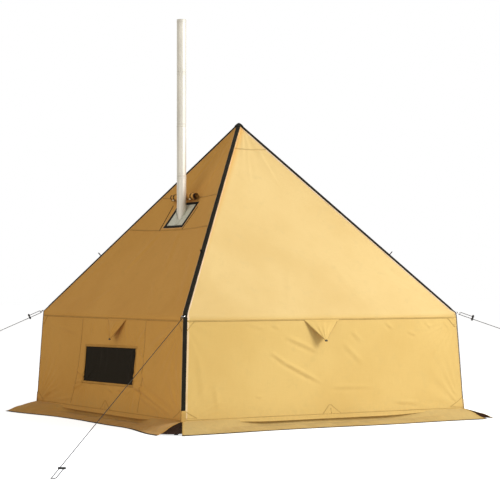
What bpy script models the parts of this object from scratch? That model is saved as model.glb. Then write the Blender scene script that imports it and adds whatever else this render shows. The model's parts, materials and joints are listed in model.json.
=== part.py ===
# Hot tent: a square pyramid roof on low walls, with a stove pipe through its roof.
# Metres, +Z up. The origin is on the ground under the middle of the walls.
# The photographed corner is at (-X, -Y), the window and the stove jack are on -X.

import math

import bmesh
import bpy
from mathutils import Matrix, Vector

# Tent body
EAVE_SIDE = 2.600
WALL_FLARE = 0.044
EAVE_HEIGHT = 0.892
SEAM_DROP = 0.040
HEM_HEIGHT = 0.090
PEAK_HEIGHT = 2.523
PEAK_SHIFT_X = -0.037
PEAK_SHIFT_Y = 0.022
CLOTH = 0.003
ROOF_SAG = 0.028
WALL_DRAW = 0.014
EAVE_DIP = 0.020
SEAM_INSET = 0.0045
TOUCH_GAP = 0.0003
CUT_OVERRUN = 0.15
ROOF_COLUMNS = 14
ROOF_ROWS = 10
WALL_COLUMNS = 18
WALL_ROWS = 7

# Snow skirt round the foot of the walls
SKIRT_REACH = 0.150
SKIRT_FLARE = 0.114
SKIRT_END = 0.097
SKIRT_RIPPLE = 0.012
SKIRT_WAVE_RATE = 7.3
SKIRT_COLUMNS = 28
SKIRT_OUT_SHARES = (0.0, 0.11, 0.02, 0.18, 0.44, 0.68, 1.0)
SKIRT_HEIGHT_SHARES = (1.0, 0.82, 0.62, 0.36, 0.10, 0.0, 0.0)

# Webbing over the ridges and down the wall corners
STRAP_WIDTH = 0.038
STRAP_THICKNESS = 0.002
STRAP_FOOT = 0.012
TONGUE_WIDTH = 0.025
TONGUE_OUT = (0.030, 0.085, 0.190)
TONGUE_LEVEL = (0.075, 0.036, 0.0005)
CAP_DROP = 0.030
CAP_CREST = 0.004
CAP_EDGE_SHARE = 0.9
CAP_CREST_SHARE = 0.25
STRAP_START_SHARE = 1.1
MID_TAB_HEIGHT = 1.380
MID_TAB_LENGTH = 0.034
TAB_WIDTH = 0.018
TAB_THICKNESS = 0.011
TAB_REACH = 0.020

# D-rings at the eave corners
RING_WIRE = 0.005
RING_HALF_WIDTH = 0.016
RING_REACH = 0.026
RING_BORE_GAP = 0.0006
RING_SEAT = 0.012
RING_ARC_STEPS = 8

# Doorway in the +X side
DOOR_WIDTH = 0.800
DOOR_TOP = 1.700
DOOR_GAP = 0.0005
DOOR_FOLD_GAP = 0.0045
DOOR_HEM_GAP = 0.003
ZIP_OFFSET = 0.014
ZIP_REST_HEIGHT = 0.135
ZIP_BODY_WIDTH = 0.012
ZIP_BODY_LENGTH = 0.028
ZIP_BODY_DEPTH = 0.007
ZIP_PULL_WIDTH = 0.007
ZIP_PULL_LENGTH = 0.036
ZIP_PULL_DEPTH = 0.003

# Window in the -X side; across is measured to the right as seen from outside
WINDOW_ACROSS = 0.055
WINDOW_WIDTH = 0.930
WINDOW_BOTTOM = 0.310
WINDOW_TOP = 0.620
WINDOW_NET = 0.0015
BINDING_WIDTH = 0.022
BINDING_LAP = 0.008
BINDING_THICKNESS = 0.002

# Tie-out flaps under the eaves
FLAP_WIDTH = 0.330
FLAP_LENGTH = 0.180
FLAP_STAND = math.radians(23)
FLAP_CREASE = 0.012
FLAP_DROP = 0.005
FLAP_THICKNESS = 0.0025
TOGGLE_RADIUS = 0.006
TOGGLE_LENGTH = 0.024
FLAP_ACROSS = {"front": -0.05, "window": 0.170, "back": 0.0}

# Stove jack in the -X roof panel, placed from the pipe that goes through it
JACK_SHIFT = -0.010
JACK_SLIDE = 0.0605
JACK_WIDTH = 0.302
JACK_LENGTH = 0.245
JACK_SHEET = 0.003
ROLL_RADIUS = 0.030
ROLL_LENGTH = 0.400
ROLL_SHIFT = -0.068
ROLL_PIPE_GAP = 0.0004
ROLL_SEAT = 0.0003
ROLL_PASSES = 4
PIPE_X = -0.625
PIPE_Y = -0.023
PIPE_TOP = 3.367
PIPE_COUNT = 6
PIPE_RADIUS = 0.040
PIPE_WALL = 0.0015
PIPE_SPIGOT = 0.035
PIPE_FIT = 0.0004
PIPE_HOLE_GAP = 0.0008
PIPE_SEGMENTS = 20

# Damper in the lowest pipe
DAMPER_RISE = 0.239
DAMPER_RADIUS = 0.036
DAMPER_PLATE = 0.002
DAMPER_ROD = 0.0030
DAMPER_ROD_GAP = 0.0005
DAMPER_HANDLE = 0.034
DAMPER_HANDLE_GAP = 0.012

# Stove under the pipe
STOVE_BACK = 0.090
STOVE_LENGTH = 0.430
STOVE_WIDTH = 0.260
STOVE_FLOOR = 0.270
STOVE_HEIGHT = 0.330
COLLAR_HEIGHT = 0.121
STOVE_WALL = 0.004
COLLAR_BOTTOM_LAP = 0.002
MOUTH_WIDTH = 0.180
MOUTH_HEIGHT = 0.180
MOUTH_SILL = 0.080
LEG_SIZE = 0.020
LEG_RAIL = 0.024
LEG_INSET = 0.012
STOVE_DOOR_LAP = 0.018
STOVE_DOOR_SHEET = 0.005
HINGE_RADIUS = 0.005
HINGE_GAP = 0.0004
LATCH_LENGTH = 0.080
LATCH_WIDTH = 0.014
LATCH_THICKNESS = 0.006
LATCH_PIN = 0.004
LATCH_PIN_GAP = 0.0004
LATCH_INSET = 0.013
VENT_WIDTH = 0.060
VENT_HEIGHT = 0.024
VENT_SHEET = 0.002
VENT_DROP = 0.055
VENT_SLOT = 0.014
VENT_SLOT_LENGTH = 0.040
VENT_TRAVEL = 0.050
VENT_KNOB = 0.010
VENT_RAIL = 0.004
KNOB_SHARE = 0.33

# Poles
POLE_RADIUS = 0.016
POLE_UPPER_RADIUS = 0.0125
POLE_SPLIT = 1.250
POLE_SOCKET = 0.110
POLE_FIT = 0.0005
FOOT_RADIUS = 0.024
FOOT_HEIGHT = 0.040
FOOT_SEAT = 0.012
FOOT_TOP_SHARE = 0.9
CORNER_POLE_RADIUS = 0.008
CORNER_POLE_DROP = 0.026
ROUND_SEGMENTS = 16

# Guy ropes: the pegs' places, the loops and the sliders on them
ROPE_DIAMETER = 0.005
RING_LOOP = 0.010
PEG_LOOP = 0.014
LOOP_RETURN = 0.060
TAIL_SHARES = (0.33, 0.66, 1.0)
LOOP_SEAT = {"near": 0.0009, "left": 0.0026, "right": 0.0012}
PEG_CLEARANCE = 0.0030
PEG_PLACES = {"near": (-3.440, -3.630), "left": (-3.180, 1.930), "right": (2.770, -3.620)}
SLIDER_PLACE = {"near": 0.150, "left": 0.100, "right": 0.110}
SLIDER_LENGTH = 0.016
SLIDER_WIDTH = 0.048
SLIDER_THICKNESS = 0.010
SLIDER_BORE_GAP = 0.0009
ROPE_STRAIGHT_POINTS = 12
ROPE_SMOOTHING = 3

UP = Vector((0, 0, 1))
PEAK = Vector((PEAK_SHIFT_X, PEAK_SHIFT_Y, PEAK_HEIGHT))
SIDES = {
    "front": Vector((0, -1, 0)),
    "window": Vector((-1, 0, 0)),
    "back": Vector((0, 1, 0)),
    "door": Vector((1, 0, 0)),
}
CORNERS = {
    "near": ("front", "window"),
    "left": ("window", "back"),
    "far": ("back", "door"),
    "right": ("door", "front"),
}
CAP_SHARE = CAP_DROP / (PEAK_HEIGHT - EAVE_HEIGHT)
SEAM_HEIGHT = EAVE_HEIGHT - SEAM_DROP


def material(name, colour, roughness, metallic=0.0):
    made = bpy.data.materials.new(name)
    made.use_nodes = True
    shader = made.node_tree.nodes["Principled BSDF"]
    shader.inputs["Base Color"].default_value = (*colour, 1.0)
    shader.inputs["Roughness"].default_value = roughness
    shader.inputs["Metallic"].default_value = metallic
    return made


def make_materials():
    return {
        "canvas": material("canvas", (0.60, 0.37, 0.13), 0.85),
        "webbing": material("webbing", (0.03, 0.028, 0.02), 0.8),
        "net": material("net", (0.02, 0.018, 0.012), 0.9),
        "glass_cloth": material("glass_cloth", (0.46, 0.50, 0.43), 0.7),
        "pipe_steel": material("pipe_steel", (0.78, 0.73, 0.65), 0.35, 1.0),
        "stove_steel": material("stove_steel", (0.10, 0.10, 0.10), 0.5, 1.0),
        "ring_steel": material("ring_steel", (0.70, 0.70, 0.70), 0.25, 1.0),
        "aluminium": material("aluminium", (0.62, 0.63, 0.65), 0.4, 1.0),
        "rubber": material("rubber", (0.03, 0.03, 0.03), 0.9),
        "plastic": material("plastic", (0.02, 0.02, 0.02), 0.5),
        "rope": material("rope", (0.06, 0.06, 0.055), 0.9),
    }


def place(name, bm, finish=None):
    """Puts a bmesh into the scene as a named object; without a finish it is a helper."""
    mesh = bpy.data.meshes.new(name)
    bm.to_mesh(mesh)
    bm.free()
    thing = bpy.data.objects.new(name, mesh)
    bpy.context.scene.collection.objects.link(thing)
    if finish is None:
        thing.hide_render = True
        thing.display_type = "WIRE"
    else:
        mesh.materials.append(finish)
    return thing


def round_off(thing):
    """Shades the round faces of a piece smooth."""
    thing.data.shade_smooth()
    thing.data.set_sharp_from_angle(angle=math.radians(35))


def combine(thing, helper, operation):
    """Adds a Boolean of the helper to a piece."""
    step = thing.modifiers.new(operation.title(), "BOOLEAN")
    step.operation = operation
    step.object = helper


def block(name, centre, directions, sizes, finish=None):
    """A box about its centre, along three square directions."""
    bm = bmesh.new()
    bmesh.ops.create_cube(bm, size=1)
    for vert in bm.verts:
        offset = Vector((0, 0, 0))
        for part, direction, size in zip(vert.co, directions, sizes):
            offset += direction * (part * size)
        vert.co = Vector(centre) + offset
    bm.normal_update()
    bmesh.ops.recalc_face_normals(bm, faces=bm.faces)
    return place(name, bm, finish)


def turned(name, profile, foot, axis, segments, finish=None, closed=True):
    """A profile of (radius, height) points, turned about an axis through the foot."""
    bm = bmesh.new()
    verts = [bm.verts.new((radius, 0, height)) for radius, height in profile]
    edges = [bm.edges.new(pair) for pair in zip(verts, verts[1:])]
    if closed:
        edges.append(bm.edges.new((verts[-1], verts[0])))
    bmesh.ops.spin(
        bm, geom=verts + edges, cent=(0, 0, 0), axis=(0, 0, 1),
        angle=math.tau, steps=segments, use_merge=True,
    )
    bmesh.ops.remove_doubles(bm, verts=bm.verts, dist=1e-6)
    turn = Vector(axis).to_track_quat("Z", "Y").to_matrix().to_4x4()
    bmesh.ops.transform(bm, matrix=Matrix.Translation(foot) @ turn, verts=bm.verts)
    bmesh.ops.recalc_face_normals(bm, faces=bm.faces)
    thing = place(name, bm, finish)
    round_off(thing)
    return thing


def rod(name, radius, foot, axis, length, segments, finish=None):
    """A plain round bar from the foot along the axis."""
    profile = [(0, 0), (radius, 0), (radius, length), (0, length)]
    return turned(name, profile, foot, axis, segments, finish, closed=False)


def tube_along(name, points, diameter, sides, finish, cyclic=False):
    """A round tube along a line of points, with its ends closed."""
    curve = bpy.data.curves.new(name, "CURVE")
    curve.dimensions = "3D"
    curve.bevel_depth = diameter / 2
    curve.bevel_resolution = sides
    curve.use_fill_caps = True
    spline = curve.splines.new("POLY")
    spline.points.add(len(points) - 1)
    for target, point in zip(spline.points, points):
        target.co = (*point, 1)
    spline.use_cyclic_u = cyclic
    curve.materials.append(finish)
    thing = bpy.data.objects.new(name, curve)
    bpy.context.scene.collection.objects.link(thing)
    return thing


def along(out):
    """The way to the right along a side, as seen from outside."""
    return Vector((-out.y, out.x, 0))


def wall_reach(height):
    """How far a wall stands from the middle at a height."""
    return EAVE_SIDE / 2 + WALL_FLARE * (EAVE_HEIGHT - height) / (EAVE_HEIGHT - HEM_HEIGHT)


def wall_point(out, across, height, draw=0.0, lift=0.0):
    """A point on a wall's outer face, which is drawn in between its edges."""
    reach = wall_reach(height)
    depth = (SEAM_HEIGHT - height) / (SEAM_HEIGHT - HEM_HEIGHT)
    inward = draw * (1 - (across / reach) ** 2) ** 2 * math.sin(math.pi * depth)
    return out * (reach - inward + lift) + along(out) * across + UP * height


def wall_normal(out):
    """The outward normal of a flared wall."""
    return (out * (EAVE_HEIGHT - HEM_HEIGHT) + UP * WALL_FLARE).normalized()


def eave_corner(corner):
    """The corner where two roof panels and two walls meet."""
    first, second = CORNERS[corner]
    return (SIDES[first] + SIDES[second]) * (EAVE_SIDE / 2) + UP * EAVE_HEIGHT


def roof_normal(out):
    """The outward normal of a roof panel."""
    middle = out * (EAVE_SIDE / 2) + UP * EAVE_HEIGHT
    return along(out).cross(PEAK - middle).normalized()


def roof_point(out, share, down, sag=0.0, lift=0.0):
    """A point on a roof panel: share runs from -1 to 1 across, down from the peak to the eave."""
    bend_height = EAVE_HEIGHT - EAVE_DIP * (1 - share ** 2)
    bend = out * wall_reach(bend_height) + along(out) * (share * EAVE_SIDE / 2) + UP * bend_height
    fall = sag * (1 - share ** 2) * math.sin(math.pi * down)
    return PEAK.lerp(bend, down) + roof_normal(out) * (lift - fall)


def roof_place(out, across, height):
    """A point of the flat roof panel at a distance across and a height."""
    down = (PEAK_HEIGHT - height) / (PEAK_HEIGHT - EAVE_HEIGHT)
    middle = PEAK.lerp(out * (EAVE_SIDE / 2) + UP * EAVE_HEIGHT, down)
    return middle + along(out) * (across - middle.dot(along(out)))


def over_pipe(out):
    """Where the pipe's axis meets the flat roof panel over the stove."""
    spot = Vector((PIPE_X, PIPE_Y, 0))
    return roof_place(out, spot.dot(along(out)), roof_height(out, spot.dot(out)))


def roof_height(out, reach):
    """The height of the flat roof panel at a distance out from the middle."""
    start = PEAK.dot(out)
    down = (reach - start) / (EAVE_SIDE / 2 - start)
    return PEAK_HEIGHT + (EAVE_HEIGHT - PEAK_HEIGHT) * down


def down_roof(out):
    """The way straight down a roof panel."""
    return along(out).cross(roof_normal(out))


def roof_surface(out, sag, lift=0.0):
    """The roof panel as a shape for a grid, with a lip that turns down to the eave seam."""
    def shape(across, depth):
        row = round(depth * ROOF_ROWS)
        if row == ROOF_ROWS:
            edge = wall_reach(SEAM_HEIGHT) - SEAM_INSET
            return wall_point(out, across * edge, SEAM_HEIGHT, lift=lift)
        down = CAP_SHARE + (1 - CAP_SHARE) * row / (ROOF_ROWS - 1)
        limit = 1 - SEAM_INSET / (down * EAVE_SIDE / 2)
        return roof_point(out, across * limit, down, sag, lift)
    return shape


def wall_surface(out, draw, low, high, top, bottom=HEM_HEIGHT, lift=0.0):
    """A wall as a shape for a grid, between two places across; None reaches the corner."""
    def shape(across, depth):
        height = top + (bottom - top) * depth
        corner = wall_reach(height) - SEAM_INSET
        left = -corner if low is None else low
        right = corner if high is None else high
        return wall_point(out, left + (right - left) * (across + 1) / 2, height, draw, lift)
    return shape


def cloth(name, columns, rows, shape, outward, finish, thickness=CLOTH):
    """A sheet of cloth: a grid laid on a shape, with its thickness on the inside."""
    bm = bmesh.new()
    bmesh.ops.create_grid(bm, x_segments=columns, y_segments=rows, size=1)
    for vert in bm.verts:
        vert.co = shape(vert.co.x, (vert.co.y + 1) / 2)
    bm.normal_update()
    facing = sum((face.normal for face in bm.faces), Vector())
    if facing.dot(outward) < 0:
        bmesh.ops.reverse_faces(bm, faces=bm.faces)
    thing = place(name, bm, finish)
    solid = thing.modifiers.new("Thickness", "SOLIDIFY")
    solid.thickness = thickness
    solid.offset = -1
    solid.use_even_offset = True
    return thing


def loft(name, sections, finish):
    """A closed solid through a row of six-point sections."""
    bm = bmesh.new()
    rings = [[bm.verts.new(point) for point in section] for section in sections]
    for ring, following in zip(rings, rings[1:]):
        for index in range(len(ring)):
            after = (index + 1) % len(ring)
            bm.faces.new((ring[index], ring[after], following[after], following[index]))
    for end in (rings[0], rings[-1]):
        bm.faces.new((end[0], end[1], end[4], end[5]))
        bm.faces.new((end[1], end[2], end[3], end[4]))
    bmesh.ops.recalc_face_normals(bm, faces=bm.faces)
    return place(name, bm, finish)


def doorway_block(name, margin):
    """The doorway's room in the roof panel over the door, less a margin."""
    out = SIDES["door"]
    top = roof_place(out, 0, DOOR_TOP) + down_roof(out) * margin
    length = (roof_place(out, 0, EAVE_HEIGHT) - top).length + CUT_OVERRUN
    centre = top + down_roof(out) * (length / 2)
    directions = (along(out), down_roof(out), roof_normal(out))
    return block(name, centre, directions, (DOOR_WIDTH - 2 * margin, length, 2 * CUT_OVERRUN))


def jack_block(name, margin, depth=CUT_OVERRUN):
    """The stove jack's room in the window side's roof panel, grown by a margin."""
    out = SIDES["window"]
    directions = (along(out), down_roof(out), roof_normal(out))
    sizes = (JACK_WIDTH + 2 * margin, JACK_LENGTH + 2 * margin, 2 * depth)
    centre = over_pipe(out) + down_roof(out) * JACK_SLIDE + along(out) * JACK_SHIFT
    return block(name, centre, directions, sizes)


def window_block(name, margin):
    """The window's room in its wall, grown by a margin."""
    out = SIDES["window"]
    height = (WINDOW_BOTTOM + WINDOW_TOP) / 2
    centre = wall_point(out, WINDOW_ACROSS, height)
    sizes = (WINDOW_WIDTH + 2 * margin, 2 * CUT_OVERRUN, WINDOW_TOP - WINDOW_BOTTOM + 2 * margin)
    return block(name, centre, (along(out), out, UP), sizes)


def make_roof(finishes):
    for side, out in SIDES.items():
        sag = 0.0 if side == "door" else ROOF_SAG
        shape = roof_surface(out, sag)
        outward = roof_normal(out)
        panel = cloth(f"roof_{side}", ROOF_COLUMNS, ROOF_ROWS, shape, outward, finishes["canvas"])
        if side == "door":
            combine(panel, doorway_block("doorway_cut", 0.0), "DIFFERENCE")
        if side == "window":
            combine(panel, jack_block("jack_cut", 0.0), "DIFFERENCE")


def make_walls(finishes):
    top = SEAM_HEIGHT - TOUCH_GAP
    for side in ("front", "window", "back"):
        out = SIDES[side]
        shape = wall_surface(out, WALL_DRAW, None, None, top)
        wall = cloth(f"wall_{side}", WALL_COLUMNS, WALL_ROWS, shape, out, finishes["canvas"])
        if side == "window":
            combine(wall, window_block("window_cut", 0.0), "DIFFERENCE")
    out = SIDES["door"]
    edge = DOOR_WIDTH / 2
    for name, low, high in (("wall_door_left", None, -edge), ("wall_door_right", edge, None)):
        shape = wall_surface(out, 0.0, low, high, top)
        cloth(name, 5, WALL_ROWS, shape, out, finishes["canvas"])


def skirt_surface(out):
    """The skirt: a tuck under the hem, then a run to the ground and out along it."""
    rise = HEM_HEIGHT - TOUCH_GAP - CLOTH
    rows = len(SKIRT_OUT_SHARES) - 1

    def shape(across, depth):
        row = round(depth * rows)
        share = SKIRT_OUT_SHARES[row]
        wave = math.sin(SKIRT_WAVE_RATE * across + row)
        ripple = SKIRT_RIPPLE * wave * share * (1 - across ** 4)
        reach = (SKIRT_REACH + SKIRT_FLARE * across ** 4) * share + ripple
        half = wall_reach(HEM_HEIGHT) - SEAM_INSET + SKIRT_END * share
        height = CLOTH + rise * SKIRT_HEIGHT_SHARES[row]
        return out * (wall_reach(HEM_HEIGHT) + reach) + along(out) * (across * half) + UP * height
    return shape


def make_skirts(finishes):
    rows = len(SKIRT_OUT_SHARES) - 1
    for side, out in SIDES.items():
        shape = skirt_surface(out)
        cloth(f"skirt_{side}", SKIRT_COLUMNS, rows, shape, out + UP, finishes["canvas"])


def strap_section(point, normals_a, normals_b, wing_a, wing_b, width_a, width_b):
    """A bent strap's section where it lies on the faces of two sides."""
    def lifted(base, normals, lift):
        way = sum(normals, Vector()).normalized()
        return base + way * (lift / min(normal.dot(way) for normal in normals))

    tip_a = point + wing_a * width_a
    tip_b = point + wing_b * width_b
    under = TOUCH_GAP
    over = TOUCH_GAP + STRAP_THICKNESS
    both = normals_a + normals_b
    return [
        lifted(tip_a, normals_a, under), lifted(point, both, under), lifted(tip_b, normals_b, under),
        lifted(tip_b, normals_b, over), lifted(point, both, over), lifted(tip_a, normals_a, over),
    ]


def make_strap(corner, finishes):
    """One length of webbing: over the ridge, round the eave, down the corner to the ground."""
    first, second = (SIDES[side] for side in CORNERS[corner])
    eave = eave_corner(corner)
    half = STRAP_WIDTH / 2
    ridge = (eave - PEAK).normalized()
    roof_a, roof_b = roof_normal(first), roof_normal(second)
    wall_a, wall_b = wall_normal(first), wall_normal(second)
    toward_a, toward_b = second * -1, first * -1

    def on_ridge(point):
        wing_a = roof_a.cross(ridge)
        wing_b = roof_b.cross(ridge)
        wing_a *= math.copysign(1, wing_a.dot(toward_a))
        wing_b *= math.copysign(1, wing_b.dot(toward_b))
        return strap_section(point, [roof_a], [roof_b], wing_a, wing_b, half, half)

    spread_a = half / math.sin(ridge.angle(toward_a * -1))
    spread_b = half / math.sin(ridge.angle(toward_b * -1))
    foot_height = HEM_HEIGHT + STRAP_FOOT
    foot = (first + second) * wall_reach(foot_height) + UP * foot_height
    sections = [
        on_ridge(PEAK + (eave - PEAK) * (CAP_SHARE * STRAP_START_SHARE)),
        on_ridge(PEAK + (eave - PEAK) / 2),
        on_ridge(eave - ridge * STRAP_WIDTH),
        strap_section(eave, [roof_a, wall_a], [roof_b, wall_b], toward_a, toward_b, spread_a, spread_b),
        strap_section(foot, [wall_a], [wall_b], toward_a, toward_b, half, half),
    ]
    diagonal = (first + second).normalized()
    sideways = diagonal.cross(UP)
    sideways *= math.copysign(1, sideways.dot(toward_a))
    hem = (first + second) * wall_reach(HEM_HEIGHT)
    for reach, level in zip(TONGUE_OUT, TONGUE_LEVEL):
        middle = Vector((hem.x, hem.y, level)) + diagonal * reach
        swing = sideways * (TONGUE_WIDTH / 2)
        lift = UP * STRAP_THICKNESS
        below = [middle + swing, middle, middle - swing]
        sections.append(below + [point + lift for point in reversed(below)])
    strap = loft(f"strap_{corner}", sections, finishes["webbing"])

    sizes = (TAB_WIDTH, TAB_REACH + STRAP_THICKNESS, TAB_THICKNESS)
    centre = eave + diagonal * (TAB_REACH / 2)
    eave_tab = block(f"{corner}_eave_tab", centre, (sideways, diagonal, UP), sizes)
    combine(strap, eave_tab, "UNION")
    share = (PEAK_HEIGHT - MID_TAB_HEIGHT) / (PEAK_HEIGHT - EAVE_HEIGHT)
    point = PEAK.lerp(eave, share)
    outward = (roof_a + roof_b).normalized()
    sizes = (TAB_WIDTH, STRAP_THICKNESS * 2, MID_TAB_LENGTH)
    flat = outward.cross(sideways).normalized()
    middle = point + outward * (MID_TAB_LENGTH / 2 + TOUCH_GAP + STRAP_THICKNESS / 2)
    mid_tab = block(f"{corner}_mid_tab", middle, (sideways, flat, outward), sizes)
    combine(strap, mid_tab, "UNION")

    bore = RING_WIRE / 2 + RING_BORE_GAP
    start = eave + diagonal * RING_SEAT - sideways * TAB_WIDTH
    cutter = rod(f"{corner}_ring_bore", bore, start, sideways, 2 * TAB_WIDTH, ROUND_SEGMENTS)
    combine(strap, cutter, "DIFFERENCE")


def make_straps(finishes):
    for corner in CORNERS:
        make_strap(corner, finishes)


def make_peak_cap(finishes):
    """The webbing cap that closes the peak, over the tip of the centre pole."""
    bm = bmesh.new()
    lift = (TOUCH_GAP + STRAP_THICKNESS) / roof_normal(SIDES["front"]).z
    for corner in CORNERS:
        eave = eave_corner(corner)
        low = PEAK.lerp(eave, CAP_SHARE) + UP * TOUCH_GAP
        crest = PEAK.lerp(eave, CAP_SHARE * CAP_CREST_SHARE) + UP * CAP_CREST
        bm.verts.new(low)
        bm.verts.new(PEAK.lerp(eave, CAP_SHARE * CAP_EDGE_SHARE) + UP * lift)
        bm.verts.new(crest)
    bmesh.ops.convex_hull(bm, input=bm.verts)
    bmesh.ops.recalc_face_normals(bm, faces=bm.faces)
    place("peak_cap", bm, finishes["webbing"])


def corner_ways(corner):
    """A corner's diagonal, the way across it, and the seat of its ring."""
    first, second = (SIDES[side] for side in CORNERS[corner])
    diagonal = (first + second).normalized()
    return diagonal, UP.cross(diagonal), eave_corner(corner) + diagonal * RING_SEAT


def peg_point(corner):
    """The middle of the peg's loop, just clear of the ground."""
    x, y = PEG_PLACES[corner]
    seat = corner_ways(corner)[2]
    flat = math.hypot(x - seat.x, y - seat.y)
    slope = seat.z / math.hypot(flat, seat.z)
    return Vector((x, y, ROPE_DIAMETER / 2 + PEG_CLEARANCE + PEG_LOOP * slope))


def ring_way(corner):
    """The way a ring points from its seat: along its rope, or hanging where it has none."""
    diagonal, _, seat = corner_ways(corner)
    if corner not in PEG_PLACES:
        return -UP
    pull = peg_point(corner) - seat
    level = Vector((pull.x, pull.y, 0)).length
    return (diagonal * level + UP * pull.z).normalized()


def make_rings(finishes):
    for corner in CORNERS:
        _, sideways, seat = corner_ways(corner)
        out = ring_way(corner)
        points = [seat - sideways * (RING_HALF_WIDTH / 2), seat, seat + sideways * (RING_HALF_WIDTH / 2)]
        for step in range(RING_ARC_STEPS + 1):
            turn = math.pi * step / RING_ARC_STEPS
            swing = sideways * (RING_HALF_WIDTH * math.cos(turn))
            points.append(seat + swing + out * (RING_REACH * math.sin(turn)))
        tube_along(f"ring_{corner}", points, RING_WIRE, 1, finishes["ring_steel"], cyclic=True)


def rope_frame(corner):
    """The rope's two loop centres, its way and the ways across its loops."""
    _, _, seat = corner_ways(corner)
    ring_end = seat + ring_way(corner) * RING_REACH
    peg_end = peg_point(corner)
    way = (peg_end - ring_end).normalized()
    ring_end += way * (RING_LOOP - RING_WIRE / 2 - ROPE_DIAMETER / 2 - LOOP_SEAT[corner])
    level = way.cross(UP).normalized()
    above = level.cross(way).normalized()
    return ring_end, peg_end, way, level, above


def rope_strand(corner):
    """The straight strand: from the underside of the ring's loop to one side of the peg's loop."""
    ring_end, peg_end, way, level, above = rope_frame(corner)
    return ring_end - above * RING_LOOP, peg_end + level * PEG_LOOP


def rope_route(corner):
    """The route's own points, from the loop in the ring to the loop round the peg."""
    ring_end, peg_end, way, level, above = rope_frame(corner)
    start, finish = rope_strand(corner)
    slide = (finish - start).normalized()
    at_ring = corner != "near"
    face = SLIDER_LENGTH / 2 + TOUCH_GAP
    ring_return = SLIDER_PLACE[corner] - face if at_ring else LOOP_RETURN
    peg_return = LOOP_RETURN if at_ring else SLIDER_PLACE[corner] - face
    route = []
    for share in reversed(TAIL_SHARES):
        route.append(ring_end + above * RING_LOOP + slide * (ring_return * share))
    for step in range(5):
        turn = math.pi * step / 4
        swing = above * (RING_LOOP * math.cos(turn))
        route.append(ring_end + swing - way * (RING_LOOP * math.sin(turn)))
    for step in range(1, ROPE_STRAIGHT_POINTS):
        route.append(start.lerp(finish, step / ROPE_STRAIGHT_POINTS))
    for step in range(5):
        turn = math.pi * step / 4
        swing = level * (PEG_LOOP * math.cos(turn))
        route.append(peg_end + swing + way * (PEG_LOOP * math.sin(turn)))
    for share in TAIL_SHARES:
        route.append(peg_end - level * PEG_LOOP - slide * (peg_return * share))
    return route


def smooth_line(route, steps):
    """Points read from a smooth curve through the route's own points."""
    points = []
    last = len(route) - 1
    for index in range(last):
        before = route[max(index - 1, 0)]
        here = route[index]
        there = route[index + 1]
        after = route[min(index + 2, last)]
        for step in range(steps):
            t = step / steps
            rise = (there - before) * (t - 2 * t ** 2 + t ** 3)
            settle = (after - here) * (t ** 3 - t ** 2)
            hold = here * (1 - 3 * t ** 2 + 2 * t ** 3) + there * (3 * t ** 2 - 2 * t ** 3)
            points.append(hold + (rise + settle) / 2)
    points.append(route[last])
    return points


def make_ropes(finishes):
    for corner in PEG_PLACES:
        points = smooth_line(rope_route(corner), ROPE_SMOOTHING)
        tube_along(f"guy_rope_{corner}", points, ROPE_DIAMETER, 2, finishes["rope"])


def slider_frame(corner):
    """A slider's middle, the way along its strand and the way across to the other strand."""
    ring_end, peg_end, way, level, above = rope_frame(corner)
    start, finish = rope_strand(corner)
    slide = (finish - start).normalized()
    if corner == "near":
        on_strand = finish - slide * SLIDER_PLACE[corner]
        return on_strand, slide, -level, PEG_LOOP
    on_strand = start + slide * SLIDER_PLACE[corner]
    return on_strand, slide, above, RING_LOOP


def make_sliders(finishes):
    """Rope sliders: the straight strand runs through the bore, the other end is tied on."""
    for corner in PEG_PLACES:
        on_strand, slide, over, loop = slider_frame(corner)
        third = slide.cross(over).normalized()
        across = third.cross(slide)
        centre = on_strand + across * loop
        sizes = (SLIDER_LENGTH, SLIDER_WIDTH, SLIDER_THICKNESS)
        body = block(f"rope_slider_{corner}", centre, (slide, across, third), sizes, finishes["plastic"])
        edge = body.modifiers.new("Edge", "BEVEL")
        edge.width = SLIDER_THICKNESS / 5
        edge.segments = 2
        bore = ROPE_DIAMETER / 2 + SLIDER_BORE_GAP
        foot = on_strand - slide * SLIDER_LENGTH
        cutter = rod(f"{corner}_slider_bore", bore, foot, slide, 2 * SLIDER_LENGTH, ROUND_SEGMENTS)
        combine(body, cutter, "DIFFERENCE")


def make_door(finishes):
    """The fabric door: one panel in the roof, one in the wall, and the zips' sliders."""
    out = SIDES["door"]
    shape = roof_surface(out, 0.0)
    upper = cloth("door_upper", ROOF_COLUMNS, ROOF_ROWS, shape, roof_normal(out), finishes["canvas"])
    combine(upper, doorway_block("door_upper_keep", DOOR_GAP), "INTERSECT")
    edge = DOOR_WIDTH / 2 - DOOR_GAP
    top = SEAM_HEIGHT - DOOR_FOLD_GAP
    shape = wall_surface(out, 0.0, -edge, edge, top, HEM_HEIGHT + DOOR_HEM_GAP)
    cloth("door_lower", 6, WALL_ROWS, shape, out, finishes["canvas"])
    for name, way in (("zip_slider_left", -1), ("zip_slider_right", 1)):
        make_zip_slider(name, out, way, finishes)


def make_zip_slider(name, out, way, finishes):
    """A zip slider with its pull, standing just off the wall beside the door."""
    normal = wall_normal(out)
    up_wall = normal.cross(along(out)) * -1
    if up_wall.z < 0:
        up_wall = -up_wall
    seat = wall_point(out, way * (DOOR_WIDTH / 2 + ZIP_OFFSET), ZIP_REST_HEIGHT)
    directions = (along(out), normal, up_wall)
    centre = seat + normal * (TOUCH_GAP + ZIP_BODY_DEPTH / 2)
    sizes = (ZIP_BODY_WIDTH, ZIP_BODY_DEPTH, ZIP_BODY_LENGTH)
    body = block(name, centre, directions, sizes, finishes["ring_steel"])
    drop = ZIP_BODY_LENGTH / 2 - ZIP_PULL_LENGTH / 2
    middle = seat + normal * (TOUCH_GAP + ZIP_BODY_DEPTH) + up_wall * drop
    sizes = (ZIP_PULL_WIDTH, ZIP_PULL_DEPTH, ZIP_PULL_LENGTH)
    combine(body, block(f"{name}_pull", middle, directions, sizes), "UNION")


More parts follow.
